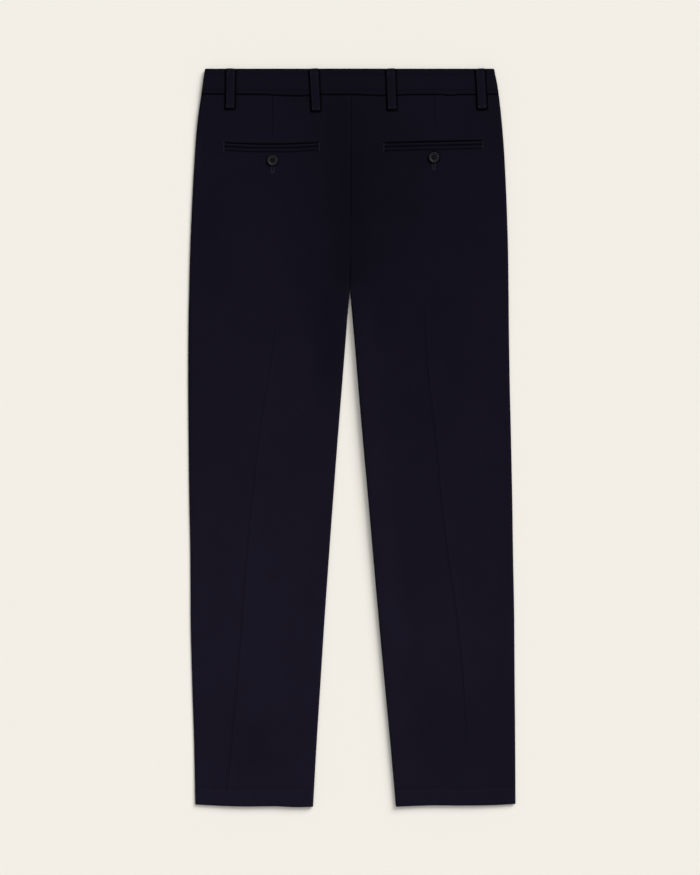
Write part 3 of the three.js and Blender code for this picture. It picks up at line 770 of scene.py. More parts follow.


# the copy turned across the grain is painted 5 % darker and the belt loops' copy 5 % paler: painted shade and
# painted light on copies of one cloth
twillCloth = twillMaterial("navyTwill")
twillAcross = twillMaterial("navyTwillAcross", turned=90, shade=0.95)
twillStrip = twillMaterial("navyTwillStrip", turned=40, shade=1.05)
threadDark = grainMaterial("navyThread", (0.007, 0.006, 0.012), (0.014, 0.012, 0.022), 0.5, 0.8, 0.1)
threadPale = grainMaterial("paleNavyThread", (0.010, 0.009, 0.016), (0.019, 0.018, 0.030), 0.5, 0.8, 0.1)
threadTack = grainMaterial("tackThread", (0.015, 0.014, 0.023), (0.026, 0.025, 0.038), 0.5, 0.8, 0.1)
horn = grainMaterial("navyHorn", (0.0025, 0.0025, 0.0035), (0.010, 0.010, 0.0125), 3.0, 0.42, 0.09, bump=0.05)
threadBlack = grainMaterial("blackThread", (0.0015, 0.0014, 0.0022), (0.004, 0.004, 0.006), 0.5, 0.85, 0.05)
nylonTape = grainMaterial("navyTape", (0.006, 0.005, 0.010), (0.011, 0.009, 0.017), 0.6, 0.85, 0.08)
nylonTeeth = grainMaterial("navyNylon", (0.010, 0.009, 0.015), (0.016, 0.014, 0.022), 1.5, 0.45, 0.3)
zipMetal = grainMaterial("gunmetal", (0.05, 0.05, 0.055), (0.09, 0.09, 0.095), 2.0, 0.4, 0.5, metal=0.9)
print("materials ready")

# one stitch is modelled once, and copied along each seam
bpy.ops.object.select_all(action="DESELECT")
bpy.ops.mesh.primitive_uv_sphere_add(segments=6, ring_count=4, radius=0.5)
pattern = bpy.context.object
stitchForm = [Vector((vert.co.z, vert.co.x, vert.co.y)) for vert in pattern.data.vertices]
stitchFaces = [tuple(face.vertices) for face in pattern.data.polygons]
bpy.ops.object.delete()


def sew(name, marks, size, material, slotName="twill"):
    points, faces = [], []
    for place, along, outward in marks:
        run = along.normalized()
        across = outward.cross(run).normalized()
        lift = run.cross(across)
        start = len(points)
        for form in stitchForm:
            reach = run * form.x * size[0] + across * form.y * size[1] + lift * form.z * size[2]
            points.append((place + reach) * mm)
        faces += [[start + i for i in face] for face in stitchFaces]
    mesh = bpy.data.meshes.new(name)
    mesh.from_pydata(points, [], faces)
    obj = bpy.data.objects.new(name, mesh)
    bpy.context.collection.objects.link(obj)
    activate(obj)
    bpy.ops.object.shade_smooth()
    obj.data.materials.append(material)
    return ride(obj, slotName)


skyward = Vector((0, 0, 1))
floorward = Vector((0, 0, -1))


# running stitches along a route of points on the cloth
def stitchRow(route, onCloth, outward, pitch=3.0, length=2.3):
    marks = []
    ahead = pitch / 2
    for (startX, startUp), (endX, endUp) in zip(route, route[1:]):
        run = math.hypot(endX - startX, endUp - startUp)
        while ahead < run:
            ends = []
            for off in (-length / 2, length / 2):
                share = (ahead + off) / run
                ends.append(onCloth(mix(startX, endX, share), mix(startUp, endUp, share)))
            marks.append(((ends[0] + ends[1]) / 2, ends[1] - ends[0], outward))
            ahead += pitch
        ahead -= run
    return marks


# stitches side by side along a line, each lying across it, as in a bar tack or a buttonhole's lip
def tackRow(start, end, reach, onCloth, outward, pitch=0.6):
    run = Vector((end[0] - start[0], end[1] - start[1]))
    across = Vector((-run.y, run.x)).normalized() * reach / 2
    marks = []
    for share in spread(0, 1, max(1, round(run.length / pitch))):
        x, up = mix(start[0], end[0], share), mix(start[1], end[1], share)
        first, last = onCloth(x - across.x, up - across.y), onCloth(x + across.x, up + across.y)
        marks.append(((first + last) / 2, last - first, outward))
    return marks


# how long, wide and high a stitch is
running = (2.3, 0.55, 0.45)
tacking = (2.2, 0.6, 0.5)


def hemStitches(side, onCloth, outward):
    line, up = sides[side], garment["stitchUp"]
    start = at(line["in"], up) + 5 * line["outward"]
    end = at(line["out"], up) - 5 * line["outward"]
    return stitchRow([(start, up), (end, up)], onCloth, outward)


# where a leg panel's columns lie across the leg
def panelColumns(side, up, toCrease, fromCrease):
    line = sides[side]
    outward = line["outward"]
    closed = smooth(up, garment["crotchUp"] - 4, garment["crotchUp"] + 16)    # sewn together at the centre
    inner = at(line["in"], up) + outward * mix(garment["seamGap"] / 2, -0.08, closed)
    outer = at(line["out"], up)
    fold = at(line["crease"], up)
    rollIn, rollOut = outward * line["rollIn"], outward * line["rollOut"]
    angles = [math.radians(15 * n) for n in range(6)]
    columns = [(inner + rollIn * (1 - math.cos(a)), a, "in") for a in angles]
    quarter = math.pi / 2
    columns += [(x, quarter, "") for x in spread(inner + rollIn, fold - outward * 5, toCrease)]
    columns += [(fold + outward * off, quarter, "") for off in (-3, -1.6, -0.8, 0, 0.8, 1.6, 3)]
    columns += [(x, quarter, "") for x in spread(fold + outward * 5, outer - rollOut, fromCrease)]
    columns += [(outer - rollOut * (1 - math.cos(a)), a, "out") for a in reversed(angles)]
    return columns


# the heights of a panel's rows, with how deep inside the cloth's outer face lies: the hem is turned up
def panelRows(step):
    deep = garment["hemLayer"]
    turned = [(up, deep) for up in spread(garment["hemDepth"] + 1, 1.2, 6)]
    bend = ((0.42, 0.93), (0.08, 0.75), (0, 0.5), (0.08, 0.25), (0.42, 0.07))
    fold = [(up, deep * share) for up, share in bend]
    hem = [(up, 0) for up in (1.2, 5, 9, 13, 17, 20, 21.6, 22.4, 23, 23.6, 24.4, 25.4, 27)]
    count = round((garment["bandSeam"] - 33) / step)
    leg = [(up, 0) for up in spread(30, garment["bandSeam"] - 4, count)]
    waist = [(garment["bandSeam"] - off, 0) for off in (2.6, 1.6, 0.9, 0.15)]
    return turned + fold + hem + leg + waist


# one leg's back or front, as a sheet on its solid's form
def legPanel(name, side, isBack, toCrease, fromCrease, step):
    line = sides[side]
    facing = 1 if isBack else -1
    rows = panelRows(step)
    columnsAt = [panelColumns(side, up, toCrease, fromCrease) for up, _ in rows]

    def place(i, j):
        up, deep = rows[j]
        x, angle, edge = columnsAt[j][i]
        back = backForm(side, x, up)
        front = frontHeight(x, up)
        flat = back if isBack else front
        opened = smooth(up, garment["crotchUp"] - 26, garment["crotchUp"] + 16)
        turned = mix(1, 0.08, opened) if edge == "in" else 1
        seam = (back + front) / 2 + facing * garment["seamGap"] / 2
        z = flat - turned * (flat - seam) * (1 - math.sin(angle))
        inward = (line["outward"] if edge == "in" else -line["outward"]) * turned * math.cos(angle)
        across = facing * (1 - turned + turned * math.sin(angle))
        length = math.hypot(inward, across)
        if deep == 0:
            detail = backDetail(side, x, up) if isBack else frontSurface(side, x, up) - front
            z += detail * math.sin(angle) ** 2
        point = (x + deep * inward / length, panelY(side, x, up, isBack), z - deep * across / length)
        hemward = -deep if deep else 0
        pressed = backPaintedShade(side, x, up) if isBack and deep == 0 else 0
        return point, (x + inward * 2, up + hemward * 12), pressed

    obj = layGrid(name, len(columnsAt[0]) - 1, len(rows) - 1, place)
    fold = at(line["crease"], 300)
    faceSheet(obj, (fold, 300 - middleUp, 6 if isBack else 0), isBack)
    return obj


# splits the faces inside a box more finely and lays the new points on the surface
def refine(obj, side, low, high, cuts, snap=()):
    def inBox(face):
        x, up = face.center.x / mm, face.center.y / mm + middleUp
        return low[0] < x < high[0] and low[1] < up < high[1]

    selectFaces(obj, inBox)
    bpy.ops.mesh.subdivide(number_cuts=cuts)
    bpy.ops.object.mode_set(mode="OBJECT")
    pressed = obj.data.attributes["pressed"].data
    for vert in obj.data.vertices:
        x = vert.co.x / mm
        up = backUp(x, vert.co.y / mm)
        if low[0] - 4 < x < high[0] + 4 and low[1] - 5 < up < min(high[1] + 5, garment["bandSeam"] - 0.2):
            for off in snap:
                if abs(up - slitUp(side, x) - off) < 0.31:
                    up = slitUp(side, x) + off
                    vert.co.y = (up - middleUp) * mm
            vert.co.z = backSurface(side, x, up) * mm
            pressed[vert.index].value = backPaintedShade(side, x, up)


# the fronts, each split into the panel and the facing that shows in its slanted pocket's mouth
mouth = {"depth": 165.0, "inset": 42.0, "rows": (1.6, 6.4)}


def mouthLine(side):
    line = sides[side]
    seam, foot = garment["bandSeam"], garment["bandSeam"] - mouth["depth"]
    low = Vector((at(line["out"], foot), foot - middleUp, 0))
    high = Vector((at(line["out"], seam) - line["outward"] * mouth["inset"], seam - middleUp, 0))
    along = (high - low).normalized()
    return low, high, Vector((along.y, -along.x, 0)) * line["outward"]


def cutAtMouth(obj, side, keepOutside):
    low, _, outward = mouthLine(side)
    gap = garment["seamGap"] / 2
    activate(obj)
    bpy.ops.object.mode_set(mode="EDIT")
    bpy.ops.mesh.select_all(action="SELECT")
    bpy.ops.mesh.bisect(plane_co=(low + outward * (gap if keepOutside else -gap)) * mm, plane_no=outward,
                        clear_inner=keepOutside, clear_outer=not keepOutside)
    bpy.ops.object.mode_set(mode="OBJECT")


def finishCloth(obj, thickness, material, slotName, node, degrees=40):
    thicken(obj, thickness)
    shadeRound(obj, degrees)
    obj.data.materials.append(material)
    ride(obj, slotName, node)


fly = {"width": 36.0, "foot": 893.0, "turn": 924.0, "rows": (0.0, 5.5)}
for side in sides:
    line = sides[side]
    panel = legPanel(f"frontPanel{side.title()}", side, False, 20, 20, 6.0)
    activate(panel)
    bpy.ops.object.duplicate()
    facing = bpy.context.object
    facing.name = facing.data.name = f"pocketFacing{side.title()}"
    cutAtMouth(panel, side, False)
    cutAtMouth(facing, side, True)
    finishCloth(panel, garment["cloth"], twillCloth, "twill", f"front_{side}")
    finishCloth(facing, garment["cloth"], twillAcross, "twill", f"front_pocket_facing_{side}")

    # two rows of stitches along the pocket's mouth, bar tacks at its ends, and the hem
    place = onPanel(side, False)
    low, high, outward = mouthLine(side)
    marks = []
    for inset in mouth["rows"]:
        foot, head = low - outward * inset, high - outward * inset
        route = [(foot.x - line["outward"] * 5, foot.y + middleUp + 8), (head.x, head.y + middleUp - 2)]
        marks += stitchRow(route, place, floorward)
    tack = low.lerp(high, 0.1) - outward * 4
    tackUp = tack.y + middleUp
    marks += tackRow((tack.x - 3.5, tackUp), (tack.x + 3.5, tackUp), 2.2, place, floorward)
    marks += hemStitches(side, place, floorward)
    if side == "left":
        for inset in fly["rows"]:
            half, drop = fly["width"] - inset, fly["turn"] - fly["foot"] - inset
            route = [(garment["centreFront"] - half, garment["bandSeam"] - 2)]
            for degrees in range(0, 90, 10):
                a = math.radians(degrees)
                route.append((garment["centreFront"] - half * math.cos(a), fly["turn"] - drop * math.sin(a)))
            route.append((garment["centreFront"] - 2, fly["foot"] + inset))
            marks += stitchRow(route, place, floorward)
    stitches = sew(f"frontStitches{side.title()}", marks, running, threadDark)
    print("front", side, len(panel.data.polygons), "faces,", len(marks), "stitches")

# the backs
backs = {}
for side, toCrease, fromCrease in (("left", 30, 34), ("right", 32, 32)):
    panel = legPanel(f"backPanel{side.title()}", side, True, toCrease, fromCrease, 4.0)
    pocket = backPocket[side]
    walls = [sign * off for sign in (-1, 1) for off in welt["wall"]]
    refine(panel, side, (pocket["x"][0] - 4, 960), (pocket["x"][1] + 4, 983), 5, walls)
    refine(panel, side, (pocket["button"][0] - 11, 929), (pocket["button"][0] + 11, 959.9), 4)
    fold = dart[side]
    refine(panel, side, (fold["x"][0] - 9, 985), (fold["x"][0] + 11, 1046), 2)
    for loop in backLoops.values():
        if (loop["endX"] < 0) == (side == "left"):
            refine(panel, side, (loop["endX"] - 12, loop["endUp"] - 6), (loop["endX"] + 12, 1047), 3)
    finishCloth(panel, garment["cloth"], twillCloth, "twill", f"back_{side}")
    backs[side] = {"panel": panel}
    print("back", side, len(panel.data.polygons), "faces")

# the welts are folded strips, with the fold at the slit
weltProfile = [(5.55, -0.95), (5.3, -0.55), (4.9, -0.2), (4.2, 0.05), (3.3, 0.2), (2.3, 0.2), (1.5, 0.02),
               (0.95, -0.25), (0.75, -0.58), (0.95, -0.9), (1.6, -1.05), (3.0, -1.1), (5.2, -1.1)]
for side in sides:
    ends = backPocket[side]["x"]
    for part, direction in (("Upper", 1), ("Lower", -1)):

        def place(i, j):
            x = mix(ends[0], ends[1], i / 70)
            off, rise = weltProfile[j]
            up = slitUp(side, x) + direction * off
            flatCut = sum(math.dist(a, b) for a, b in zip(weltProfile[:j], weltProfile[1 : j + 1]))
            wave = 0.08 * noise.noise(Vector((x / 9, direction * 3.0, 0)))
            # painted shade along the fold at the slit and along each welt's outer edge, darkest along the upper
            # welt's top edge, with a dark end stitch on the left pocket
            outer = 1.0 if direction > 0 else 0.4
            deep = max(0.95 * bell(off - 0.6, 0.95), outer * bell(off - 5.6, 0.7))
            if side == "left":
                deep = max(deep, 0.55 * bell(x - welt["endStitch"], 0.9))
            return (x, up - middleUp, backForm(side, x, up) + rise + wave), (x, flatCut), deep

        strip = layGrid(f"pocketWelt{part}{side.title()}", 70, len(weltProfile) - 1, place)
        middle = (ends[0] + ends[1]) / 2
        faceSheet(strip, (middle, slitUp(side, middle) + direction * 3 - middleUp, 8), True)
        node = f"back_pocket_{part.lower()}_welt_{side}"
        finishCloth(strip, welt["cloth"], twillAcross, "twill", node)
        backs[side][part] = strip
print("welts ready")


# four-hole buttons with a raised rim
buttonShape = {
    "rim": 1.5, "slope": 1.1, "dish": 0.7, "edge": 0.42, "hole": 1.1, "spread": 1.75,
    "dishPaintedShade": 0.55, "rimPaintedHighlight": -0.85,      # painted shade in the dish and a painted highlight on the rim
}


def makeButton(name, node, faceDown):
    low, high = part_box(node)
    centre = [(a + b) / 2 for a, b in zip(low, high)]
    radius, height = (high[0] - low[0]) / 2, high[2] - low[2]
    bpy.ops.object.select_all(action="DESELECT")
    bpy.ops.mesh.primitive_cylinder_add(vertices=64, radius=radius, depth=height)
    obj = bpy.context.object
    obj.name = obj.data.name = name
    selectFaces(obj, lambda face: face.normal.z > 0.9)
    bpy.ops.mesh.inset(thickness=buttonShape["rim"] * mm)
    bpy.ops.mesh.inset(thickness=buttonShape["slope"] * mm, depth=-buttonShape["dish"] * mm)
    bpy.ops.object.mode_set(mode="OBJECT")
    roundEdges(obj, buttonShape["edge"], segments=4, degrees=28)
    off = buttonShape["spread"] * mm
    for spot in ((-off, -off, 0), (-off, off, 0), (off, -off, 0), (off, off, 0)):
        bpy.ops.object.select_all(action="DESELECT")
        bpy.ops.mesh.primitive_cylinder_add(vertices=20, radius=buttonShape["hole"] * mm, depth=4 * height,
                                            location=spot)
        drill = bpy.context.object
        applyModifier(obj, "BOOLEAN", operation="DIFFERENCE", solver="EXACT", object=drill)
        activate(drill)
        bpy.ops.object.delete()
    # painted shade in the button's dish, fading to a painted highlight on its rim
    layer = obj.data.attributes.new("pressed", "FLOAT", "POINT")
    for vert in obj.data.vertices:
        out = math.hypot(vert.co.x, vert.co.y) / radius
        share = smooth(out, 0.42, 0.78)
        layer.data[vert.index].value = mix(buttonShape["dishPaintedShade"], buttonShape["rimPaintedHighlight"], share)
    activate(obj)
    if faceDown:
        bpy.ops.transform.rotate(value=math.pi, orient_axis="X", center_override=(0, 0, 0))
    bpy.ops.transform.translate(value=centre)
    bpy.ops.object.transform_apply(location=True, rotation=True, scale=True)
    shadeRound(obj, 30)
    obj.data.materials.append(horn)
    return ride(obj, "buttons", node), Vector(centre) / mm, height / mm


# the thread through a button's holes: three strands for each bar
def buttonThread(name, centre, rise, bars, outward):
    marks = []
    off = buttonShape["spread"]
    for start, end in bars:
        run = Vector((end[0] - start[0], end[1] - start[1], 0)).normalized()
        across = Vector((-run.y, run.x, 0))
        middle = Vector(((start[0] + end[0]) / 2 * off, (start[1] + end[1]) / 2 * off, 0))
        for strand in (-0.3, 0.05, 0.35):
            marks.append((centre + middle + across * strand + Vector((0, 0, rise)), run, outward))
    length = 2 * off * math.dist(*bars[0]) / 2 + 0.6
    return sew(name, marks, (length, 0.4, 0.6), threadBlack, "buttons")


crossed = [((-1, -1), (1, 1)), ((-1, 1), (1, -1))]
parallel = [((-1, 1), (1, 1)), ((-1, -1), (1, -1))]
for side, bars in (("left", crossed), ("right", parallel)):
    button, centre, height = makeButton(f"pocketButton{side.title()}", f"back_pocket_button_{side}", False)
    thread = buttonThread(f"pocketButtonThread{side.title()}", centre, height / 2 - 0.4, bars, skyward)
    backs[side]["button"] = [button, thread]
waistButton, centre, height = makeButton("waistButton", "waist_button", True)
waistThread = buttonThread("waistButtonThread", centre, -height / 2 + 0.4, parallel, floorward)
print("buttons ready")

# the back's own sewing: pocket ends, buttonholes and hems
for side in sides:
    line = sides[side]
    pocket = backPocket[side]
    place = onPanel(side, True)

    def overWelts(x, up):
        return Vector((x, up - middleUp, backForm(side, x, up) + 0.3))

    ends = []
    for x in (pocket["x"][0], pocket["x"][1]):
        middle = slitUp(side, x)
        ends += tackRow((x, middle - 6.4), (x, middle + 6.4), 1.0, overWelts, skyward)
    backs[side]["ends"] = sew(f"pocketEnds{side.title()}", ends, (1.1, 0.6, 0.5), threadTack)
    pale = []
    x, up = pocket["button"]
    foot, head = up - buttonhole["foot"], up + buttonhole["head"]
    for lip in (x - buttonhole["lip"], x + buttonhole["lip"]):
        pale += tackRow((lip, foot), (lip, head), 1.9, place, skyward)
    pale += tackRow((x - 2.1, foot - 0.6), (x + 2.1, foot - 0.6), 1.8, place, skyward)
    backs[side]["tacks"] = sew(f"pocketTacks{side.title()}", pale, tacking, threadPale)

    marks = hemStitches(side, place, skyward)
    backs[side]["stitches"] = sew(f"backStitches{side.title()}", marks, running, threadDark)
print("pocket and hem stitches ready")

# the waistband: one strip from its left end under the middle, over the back, to its right end
band = {"lapEnd": 5.0, "underlapEnd": -40.0, "wall": 1.4, "stack": 5.4, "lapStep": 1.8}
# how far the strip's face stands out at each height over the waist seam
bandProfile = [(-0.1, -0.7), (0.35, -0.25), (0.9, 0.0), (2.2, 0.05), (4.0, 0.05), (5.2, 0.12), (6.2, 0.3),
               (7.2, 0.1), (9.0, 0.05), (13, 0.15), (18, 0.2), (23, 0.16), (27.5, 0.04), (29.8, -0.1),
               (32.5, 0.04), (35.5, 0.1), (37.1, 0.0), (37.8, -0.3), (38.2, -0.7)]
# and the lines of painted shade and painted highlight (below 0) along it: each one's height over the seam, its
# width and how deep it is
bandPaintedShadeLines = [(0, 1.2, 1.0), (7.4, 1.0, 0.4), (29.8, 1.8, 0.2), (3.8, 1.0, -0.4), (33.5, 2.0, -0.15)]


def bandBackColumns(left, right):
    columns = set(spread(left, right, 104))
    for loop in backLoops.values():
        middle = (loop["topX"] + loop["endX"]) / 2
        columns |= {middle + off for off in range(-12, 13)}
    kept = []
    for x in sorted(columns):
        if not kept or x - kept[-1] > 0.4 or x == right:
            kept.append(x)
    return kept


def bandRun(up):
    left, right = at("leftOut", up), at("rightOut", up)
    radius = band["stack"] / 2
    run = []

    def under(x, lift):
        run.append((x, garment["loopLift"] + buttonLift(x) + lift, 0, -1, waistDip(x)))

    def turn(centre, start, end):
        for angle in spread(start, end, 12)[1:-1]:
            across, out = math.cos(angle), math.sin(angle)
            x = centre + radius * across
            run.append((x, garment["loopLift"] + buttonLift(x) + radius * (1 + out), across, out, 0))

    for x in spread(band["lapEnd"], left + radius, 44):
        under(x, 0)
    turn(left + radius, -math.pi / 2, -3 * math.pi / 2)
    for share in bandShares:
        x = mix(left + radius, right - radius, share)
        run.append((x, garment["loopLift"] + buttonLift(x) + band["stack"], 0, 1, 0))
    turn(right - radius, math.pi / 2, -math.pi / 2)
    for x in spread(right - radius, 24, 40) + [21, 18, 15, 12, 10] + spread(5, band["underlapEnd"], 9):
        under(x, band["lapStep"] * (1 - smooth(x, 10, 24)))
    return run


bandEnds = (at("leftOut", 1066) + band["stack"] / 2, at("rightOut", 1066) - band["stack"] / 2)
bandShares = [(x - bandEnds[0]) / (bandEnds[1] - bandEnds[0]) for x in bandBackColumns(*bandEnds)]
bandRows = []
for over, out in bandProfile:
    bandRows.append((garment["bandSeam"] + over, bandRun(garment["bandSeam"] + over), out))


def bandPlace(i, j):
    up, run, out = bandRows[j]
    x, z, normalX, normalZ, dip = run[i]
    over = up - garment["bandSeam"]
    # painted shade: lines along the band, more over its right end, a dark line along its top edge and beside the
    # belt loops
    deep = softLines(bandPaintedShadeLines, over) + 0.10 * smooth(x, 150, 200)
    if normalZ > 0:
        deep += 0.85 * smooth(over, 35.3, 36.6)
    if normalZ > 0.9:
        out -= 0.55 * besideLoops(x, up)
        deep = max(deep, besideLoops(x, up, 1.4))
    if normalZ > 0:
        dip += seamDrop(x) * (1 - smooth(over, 0, 16))
    out += 0.12 * noise.noise(Vector((x / 16, up / 9, normalZ * 2)))
    out += 0.16 * noise.noise(Vector((x / 46, up / 22, normalZ * 5)))
    length = sum(math.dist(a[:2], b[:2]) for a, b in zip(run[: i : 8], run[8 : i + 8 : 8])) if i else 0
    return (x + out * normalX, up - middleUp - dip, z + out * normalZ), (length, up), deep


waistband = layGrid("waistbandStrip", len(bandRows[0][1]) - 1, len(bandRows) - 1, bandPlace)
faceSheet(waistband, (0, 1066 - middleUp, 8), True)
outerPoints = len(waistband.data.vertices)
thicken(waistband, band["wall"])
# inside, the band has no painted shade
for vert in waistband.data.vertices[outerPoints:]:
    waistband.data.attributes["pressed"].data[vert.index].value = 0
roundEdges(waistband, 0.4)
shadeRound(waistband, 40)
waistband.data.materials.append(twillAcross)
ride(waistband, "twill", "waistband")
print("waistband", len(waistband.data.polygons), "faces")

# the buttonhole in the waistband's left end shows underneath
def underBand(x, up):
    return Vector((x, up - middleUp - waistDip(x), garment["loopLift"] + buttonLift(x) - 0.1))


waistHole = {"x": (-17, 1), "up": (garment["bandSeam"] + garment["length"]) / 2, "lip": 1.6}
marks = []
for up in (waistHole["up"] - waistHole["lip"], waistHole["up"] + waistHole["lip"]):
    marks += tackRow((waistHole["x"][0], up), (waistHole["x"][1], up), 2.2, underBand, floorward)
bandStitches = sew("waistbandStitches", marks, tacking, threadDark)


# how far a strap's middle hangs below its ends
def strapSag(share):
    return 4 * loopShape["sag"] * share * (1 - share)


# a belt loop: a strap with its ends turned under, as places along it and heights over the band
def strapPath(length):
    bend, high, turned = loopShape["bend"], loopShape["high"], loopShape["turned"]

    def arc(along, up, start, end):
        points = []
        for degrees in spread(start, end, 4):
            across, out = math.cos(math.radians(degrees)), math.sin(math.radians(degrees))
            points.append((along + bend * across, up + bend * out, across, out))
        return points

    path = [(along, 0, 0, -1) for along in spread(turned, bend + 1, 4)]
    path += arc(bend, bend, -90, -180) + arc(bend, high - bend, 180, 90)
    for along in spread(bend, length - bend, 40)[1:-1]:
        path.append((along, high - strapSag((along - bend) / (length - 2 * bend)), 0, 1))
    path += arc(length - bend, high - bend, 90, 0) + arc(length - bend, bend, 0, -90)
    return path + [(along, 0, 0, -1) for along in spread(length - bend - 1, length - turned, 4)]


# the rows of stitches along a strap's edges, and a bar tack by each of its ends
def strapStitches(low, high, footTack, onStrap, outward):
    rows, tacks = [], []
    for off in loopShape["rows"]:
        rows += stitchRow([(off, low + 1), (off, high - 1)], onStrap, outward, pitch=2.8, length=2.1)
    reach = loopShape["tack"]
    for along in (footTack, high - loopShape["headTack"]):
        tacks += tackRow((-reach, along), (reach, along), 1.7, onStrap, outward)
    return rows, tacks


# across a strap: the distance from its middle and how far its face falls there
strapAcross = [(-6.5, 1.0), (-6.42, 0.55), (-6.1, 0.2), (-5.5, 0.03), (-5.0, 0.05), (-4.6, 0.12),
               (-4.2, 0.05), (-3.2, -0.03), (-1.6, -0.08), (0, -0.1)]
strapAcross += [(-off, fall) for off, fall in reversed(strapAcross[:-1])]
beltLoops = {}
for name, loop in backLoops.items():
    length = garment["length"] - loop["endUp"]
    path = strapPath(length)
    lean = Vector((loop["topX"] - loop["endX"], length)).normalized()
    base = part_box(loop["node"])[0][2] / mm

    def overBand(off, along, high):
        x = loop["endX"] + along * lean.x + off * lean.y
        return Vector((x, loop["endUp"] - middleUp + along * lean.y - off * lean.x, base + high))

    def place(i, j):
        along, high, normalS, normalZ = path[j]
        off, fall = strapAcross[i]
        along -= fall * normalS
        flatCut = sum(math.dist(a[:2], b[:2]) for a, b in zip(path[:j], path[1 : j + 1]))
        # painted shade along the strap's edges and at its turned-under end
        edge = max(bell(abs(off) - loopShape["width"] / 2, 0.5), bell(along, 0.5))
        return overBand(off, along, high - fall * normalZ), (off, flatCut), 0.8 * edge

    def onStrap(off, along):
        share = (along - loopShape["bend"]) / (length - 2 * loopShape["bend"])
        return overBand(off, along, loopShape["high"] - strapSag(min(1, max(0, share))) - 0.1)

    strap = layGrid(f"beltLoop{name}", len(strapAcross) - 1, len(path) - 1, place)
    middle = (loop["topX"] + loop["endX"]) / 2
    faceSheet(strap, (middle, loop["endUp"] - middleUp + length / 2, base + 4), True)
    finishCloth(strap, loopShape["strap"], twillStrip, "twill", loop["node"], degrees=50)
    rows, tacks = strapStitches(0, length, 3.6, onStrap, skyward)
    loopRows = sew(f"beltLoopStitches{name}", rows, (2.1, 0.5, 0.4), threadDark)
    loopTacks = sew(f"beltLoopTacks{name}", tacks, (1.7, 0.55, 0.45), threadPale)
    beltLoops[name] = {"strap": strap, "with": [loopRows, loopTacks]}

for name, loop in frontLoops.items():
    low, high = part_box(loop["node"])
    lowY, highY = low[1] / mm, high[1] / mm
    rowsY = [lowY, lowY + 0.25, lowY + 0.7] + spread(lowY + 1.5, highY - 1.5, 26)
    rowsY += [highY - 0.7, highY - 0.25, highY]
    falls = {0: 0.8, 1: 0.3, 2: 0.08}

    def place(i, j):
        off, fall = strapAcross[i]
        end = falls.get(min(j, len(rowsY) - 1 - j), 0)
        return (loop["x"] + off, rowsY[j], max(0.0, fall, end)), (off, rowsY[j])

    def underStrap(off, y):
        return Vector((loop["x"] + off, y, 0.08))

    strap = layGrid(f"beltLoopFront{name}", len(strapAcross) - 1, len(rowsY) - 1, place)
    faceSheet(strap, (loop["x"], (lowY + highY) / 2, 0), False)
    finishCloth(strap, loopShape["strap"], twillStrip, "twill", loop["node"], degrees=50)
    rows, tacks = strapStitches(lowY, highY, lowY + 4, underStrap, floorward)
    loopRows = sew(f"beltLoopFrontStitches{name}", rows + tacks, (1.9, 0.5, 0.3), threadDark)
    beltLoops[f"Front{name}"] = {"strap": strap, "with": [loopRows]}
print("belt loops ready")

# the closed zip behind the fly: two tapes, the chain's teeth and the slider
zipShape = {
    "foot": 892.0, "head": 1044.2, "half": 13.0, "tape": 0.7, "pitch": 1.5, "teethEnd": 1030.0,
    "slider": (5.6, 9.0, 0.8), "sliderUp": 1035.0, "nose": 0.6,
}
zipMiddle = garment["centreFront"]


def zipBase(x, up):
    z = frontHeight(x, up) + 1.2 + 2 * garment["seamGap"]
    return Vector((x, up - middleUp - waistDip(x) * smooth(up, 900, garment["bandSeam"]), z))


for sign, name in ((-1, "Left"), (1, "Right")):

    def place(i, j):
        x = zipMiddle + sign * mix(0.15, zipShape["half"], i / 10)
        up = mix(zipShape["foot"], zipShape["head"], j / 60)
        point = zipBase(x, up) + Vector((0, 0, zipShape["tape"]))
        return point, (x, up)

    tape = layGrid(f"zipTape{name}", 10, 60, place)
    faceSheet(tape, (zipMiddle + sign * 6, 970 - middleUp, 6), True)
    finishCloth(tape, zipShape["tape"], nylonTape, "zip_tape", "zip")
marks = []
toothCount = round((zipShape["teethEnd"] - zipShape["foot"]) / zipShape["pitch"])
for n, up in enumerate(spread(zipShape["foot"] + 3, zipShape["teethEnd"], toothCount)):
    x = zipMiddle + (0.7 if n % 2 else -0.7)
    marks.append((zipBase(x, up) + Vector((0, 0, zipShape["tape"] + 0.1)), Vector((1, 0, 0)), skyward))
zipTeeth = sew("zipTeeth", marks, (3.6, 1.3, 0.9), nylonTeeth, "zip_tape")
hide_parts("zip")
bpy.ops.object.select_all(action="DESELECT")
bpy.ops.mesh.primitive_cube_add(size=1)
zipSlider = bpy.context.object
zipSlider.name = zipSlider.data.name = "zipSlider"
bpy.ops.transform.resize(value=[size * mm for size in zipShape["slider"]])
selectFaces(zipSlider, lambda face: face.normal.y < -0.9)
bpy.ops.transform.resize(value=(zipShape["nose"], 1, 1))
bpy.ops.mesh.extrude_region_move(TRANSFORM_OT_translate={"value": (0, -zipShape["slider"][1] * mm, 0)})
bpy.ops.object.mode_set(mode="OBJECT")
activate(zipSlider)
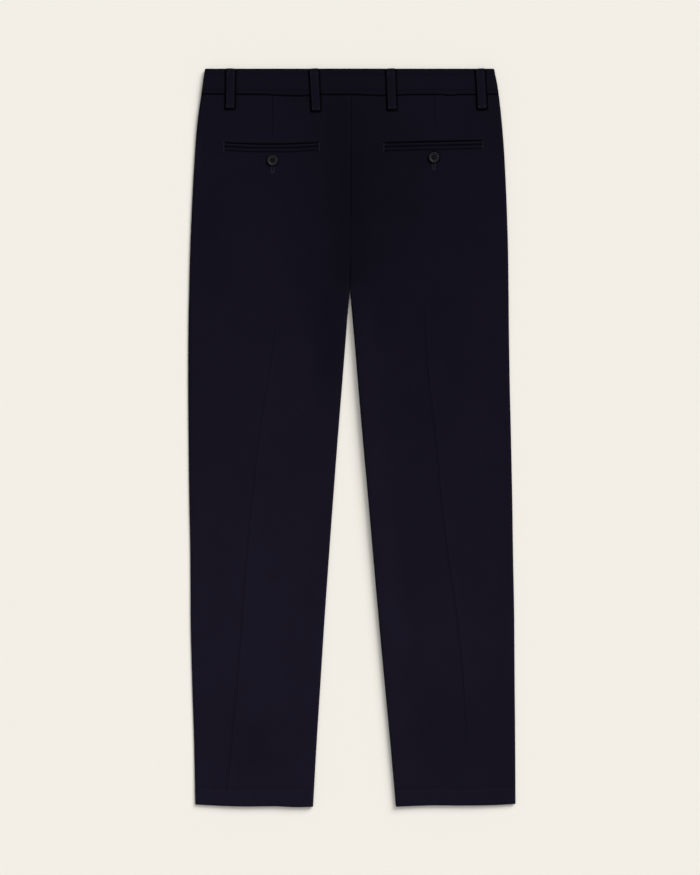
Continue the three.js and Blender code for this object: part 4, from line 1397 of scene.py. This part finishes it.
sliderPlace = zipBase(zipMiddle, zipShape["sliderUp"]) + Vector((0, 0, zipShape["tape"] + 0.3))
bpy.ops.transform.translate(value=sliderPlace * mm)
bpy.ops.object.transform_apply(location=True, rotation=True, scale=True)
roundEdges(zipSlider, 0.25)
shadeRound(zipSlider, 35)
zipSlider.data.materials.append(zipMetal)
ride(zipSlider, "zip_tape", "zip")
print("zip ready")

# a name for each side, and the length each belt loop is cut to
for side in sides:
    name = side.title()
for name, loop in beltLoops.items():
    length = 0.056 if name.startswith("Front") else 0.079

# light and floor
studio = {
    "floor": (0.80, 0.768, 0.708, 1),
    "sky": (1.0, 1.0, 1.0, 1),
    "skyStrength": 0.33,
    "lamps": [
        {"name": "softOverhead", "light": 0.27, "rise": 78, "turn": 60, "angle": 80},
        {"name": "softKey", "light": 0.52, "rise": 32, "turn": 49, "angle": 34},
    ],
}
bpy.ops.object.select_all(action="DESELECT")
bpy.ops.mesh.primitive_plane_add(size=60, location=(0, 0, 0))
floor = bpy.context.object
floor.name = "paperFloor"
bpy.ops.transform.translate(value=(0, 0, -0.0002))
bpy.ops.object.transform_apply(location=True, rotation=True, scale=True)
floorMaterial, floorTree, floorShader = nodeTree("warmPaper")
feed(floorTree, floorShader, Base_Color=studio["floor"], Roughness=1.0, Specular_IOR_Level=0.0)
floor.data.materials.append(floorMaterial)

world = bpy.data.worlds.new("studioWorld")
world.use_nodes = True
backdrop = world.node_tree.nodes["Background"]
feed(world.node_tree, backdrop, Color=studio["sky"], Strength=studio["skyStrength"])
bpy.context.scene.world = world
bpy.context.scene.view_settings.view_transform = "Standard"
bpy.context.scene.view_settings.look = "None"
for lamp in studio["lamps"]:
    rise = math.radians(lamp["rise"])
    bpy.ops.object.select_all(action="DESELECT")
    bpy.ops.object.light_add(type="SUN", rotation=(0, math.pi / 2 - rise, math.radians(lamp["turn"])))
    sun = bpy.context.object
    sun.name = lamp["name"]
    sun.data.energy = lamp["light"] * math.pi / math.sin(rise)    # light is its share on the flat floor
    sun.data.angle = math.radians(lamp["angle"])
print("studio ready")
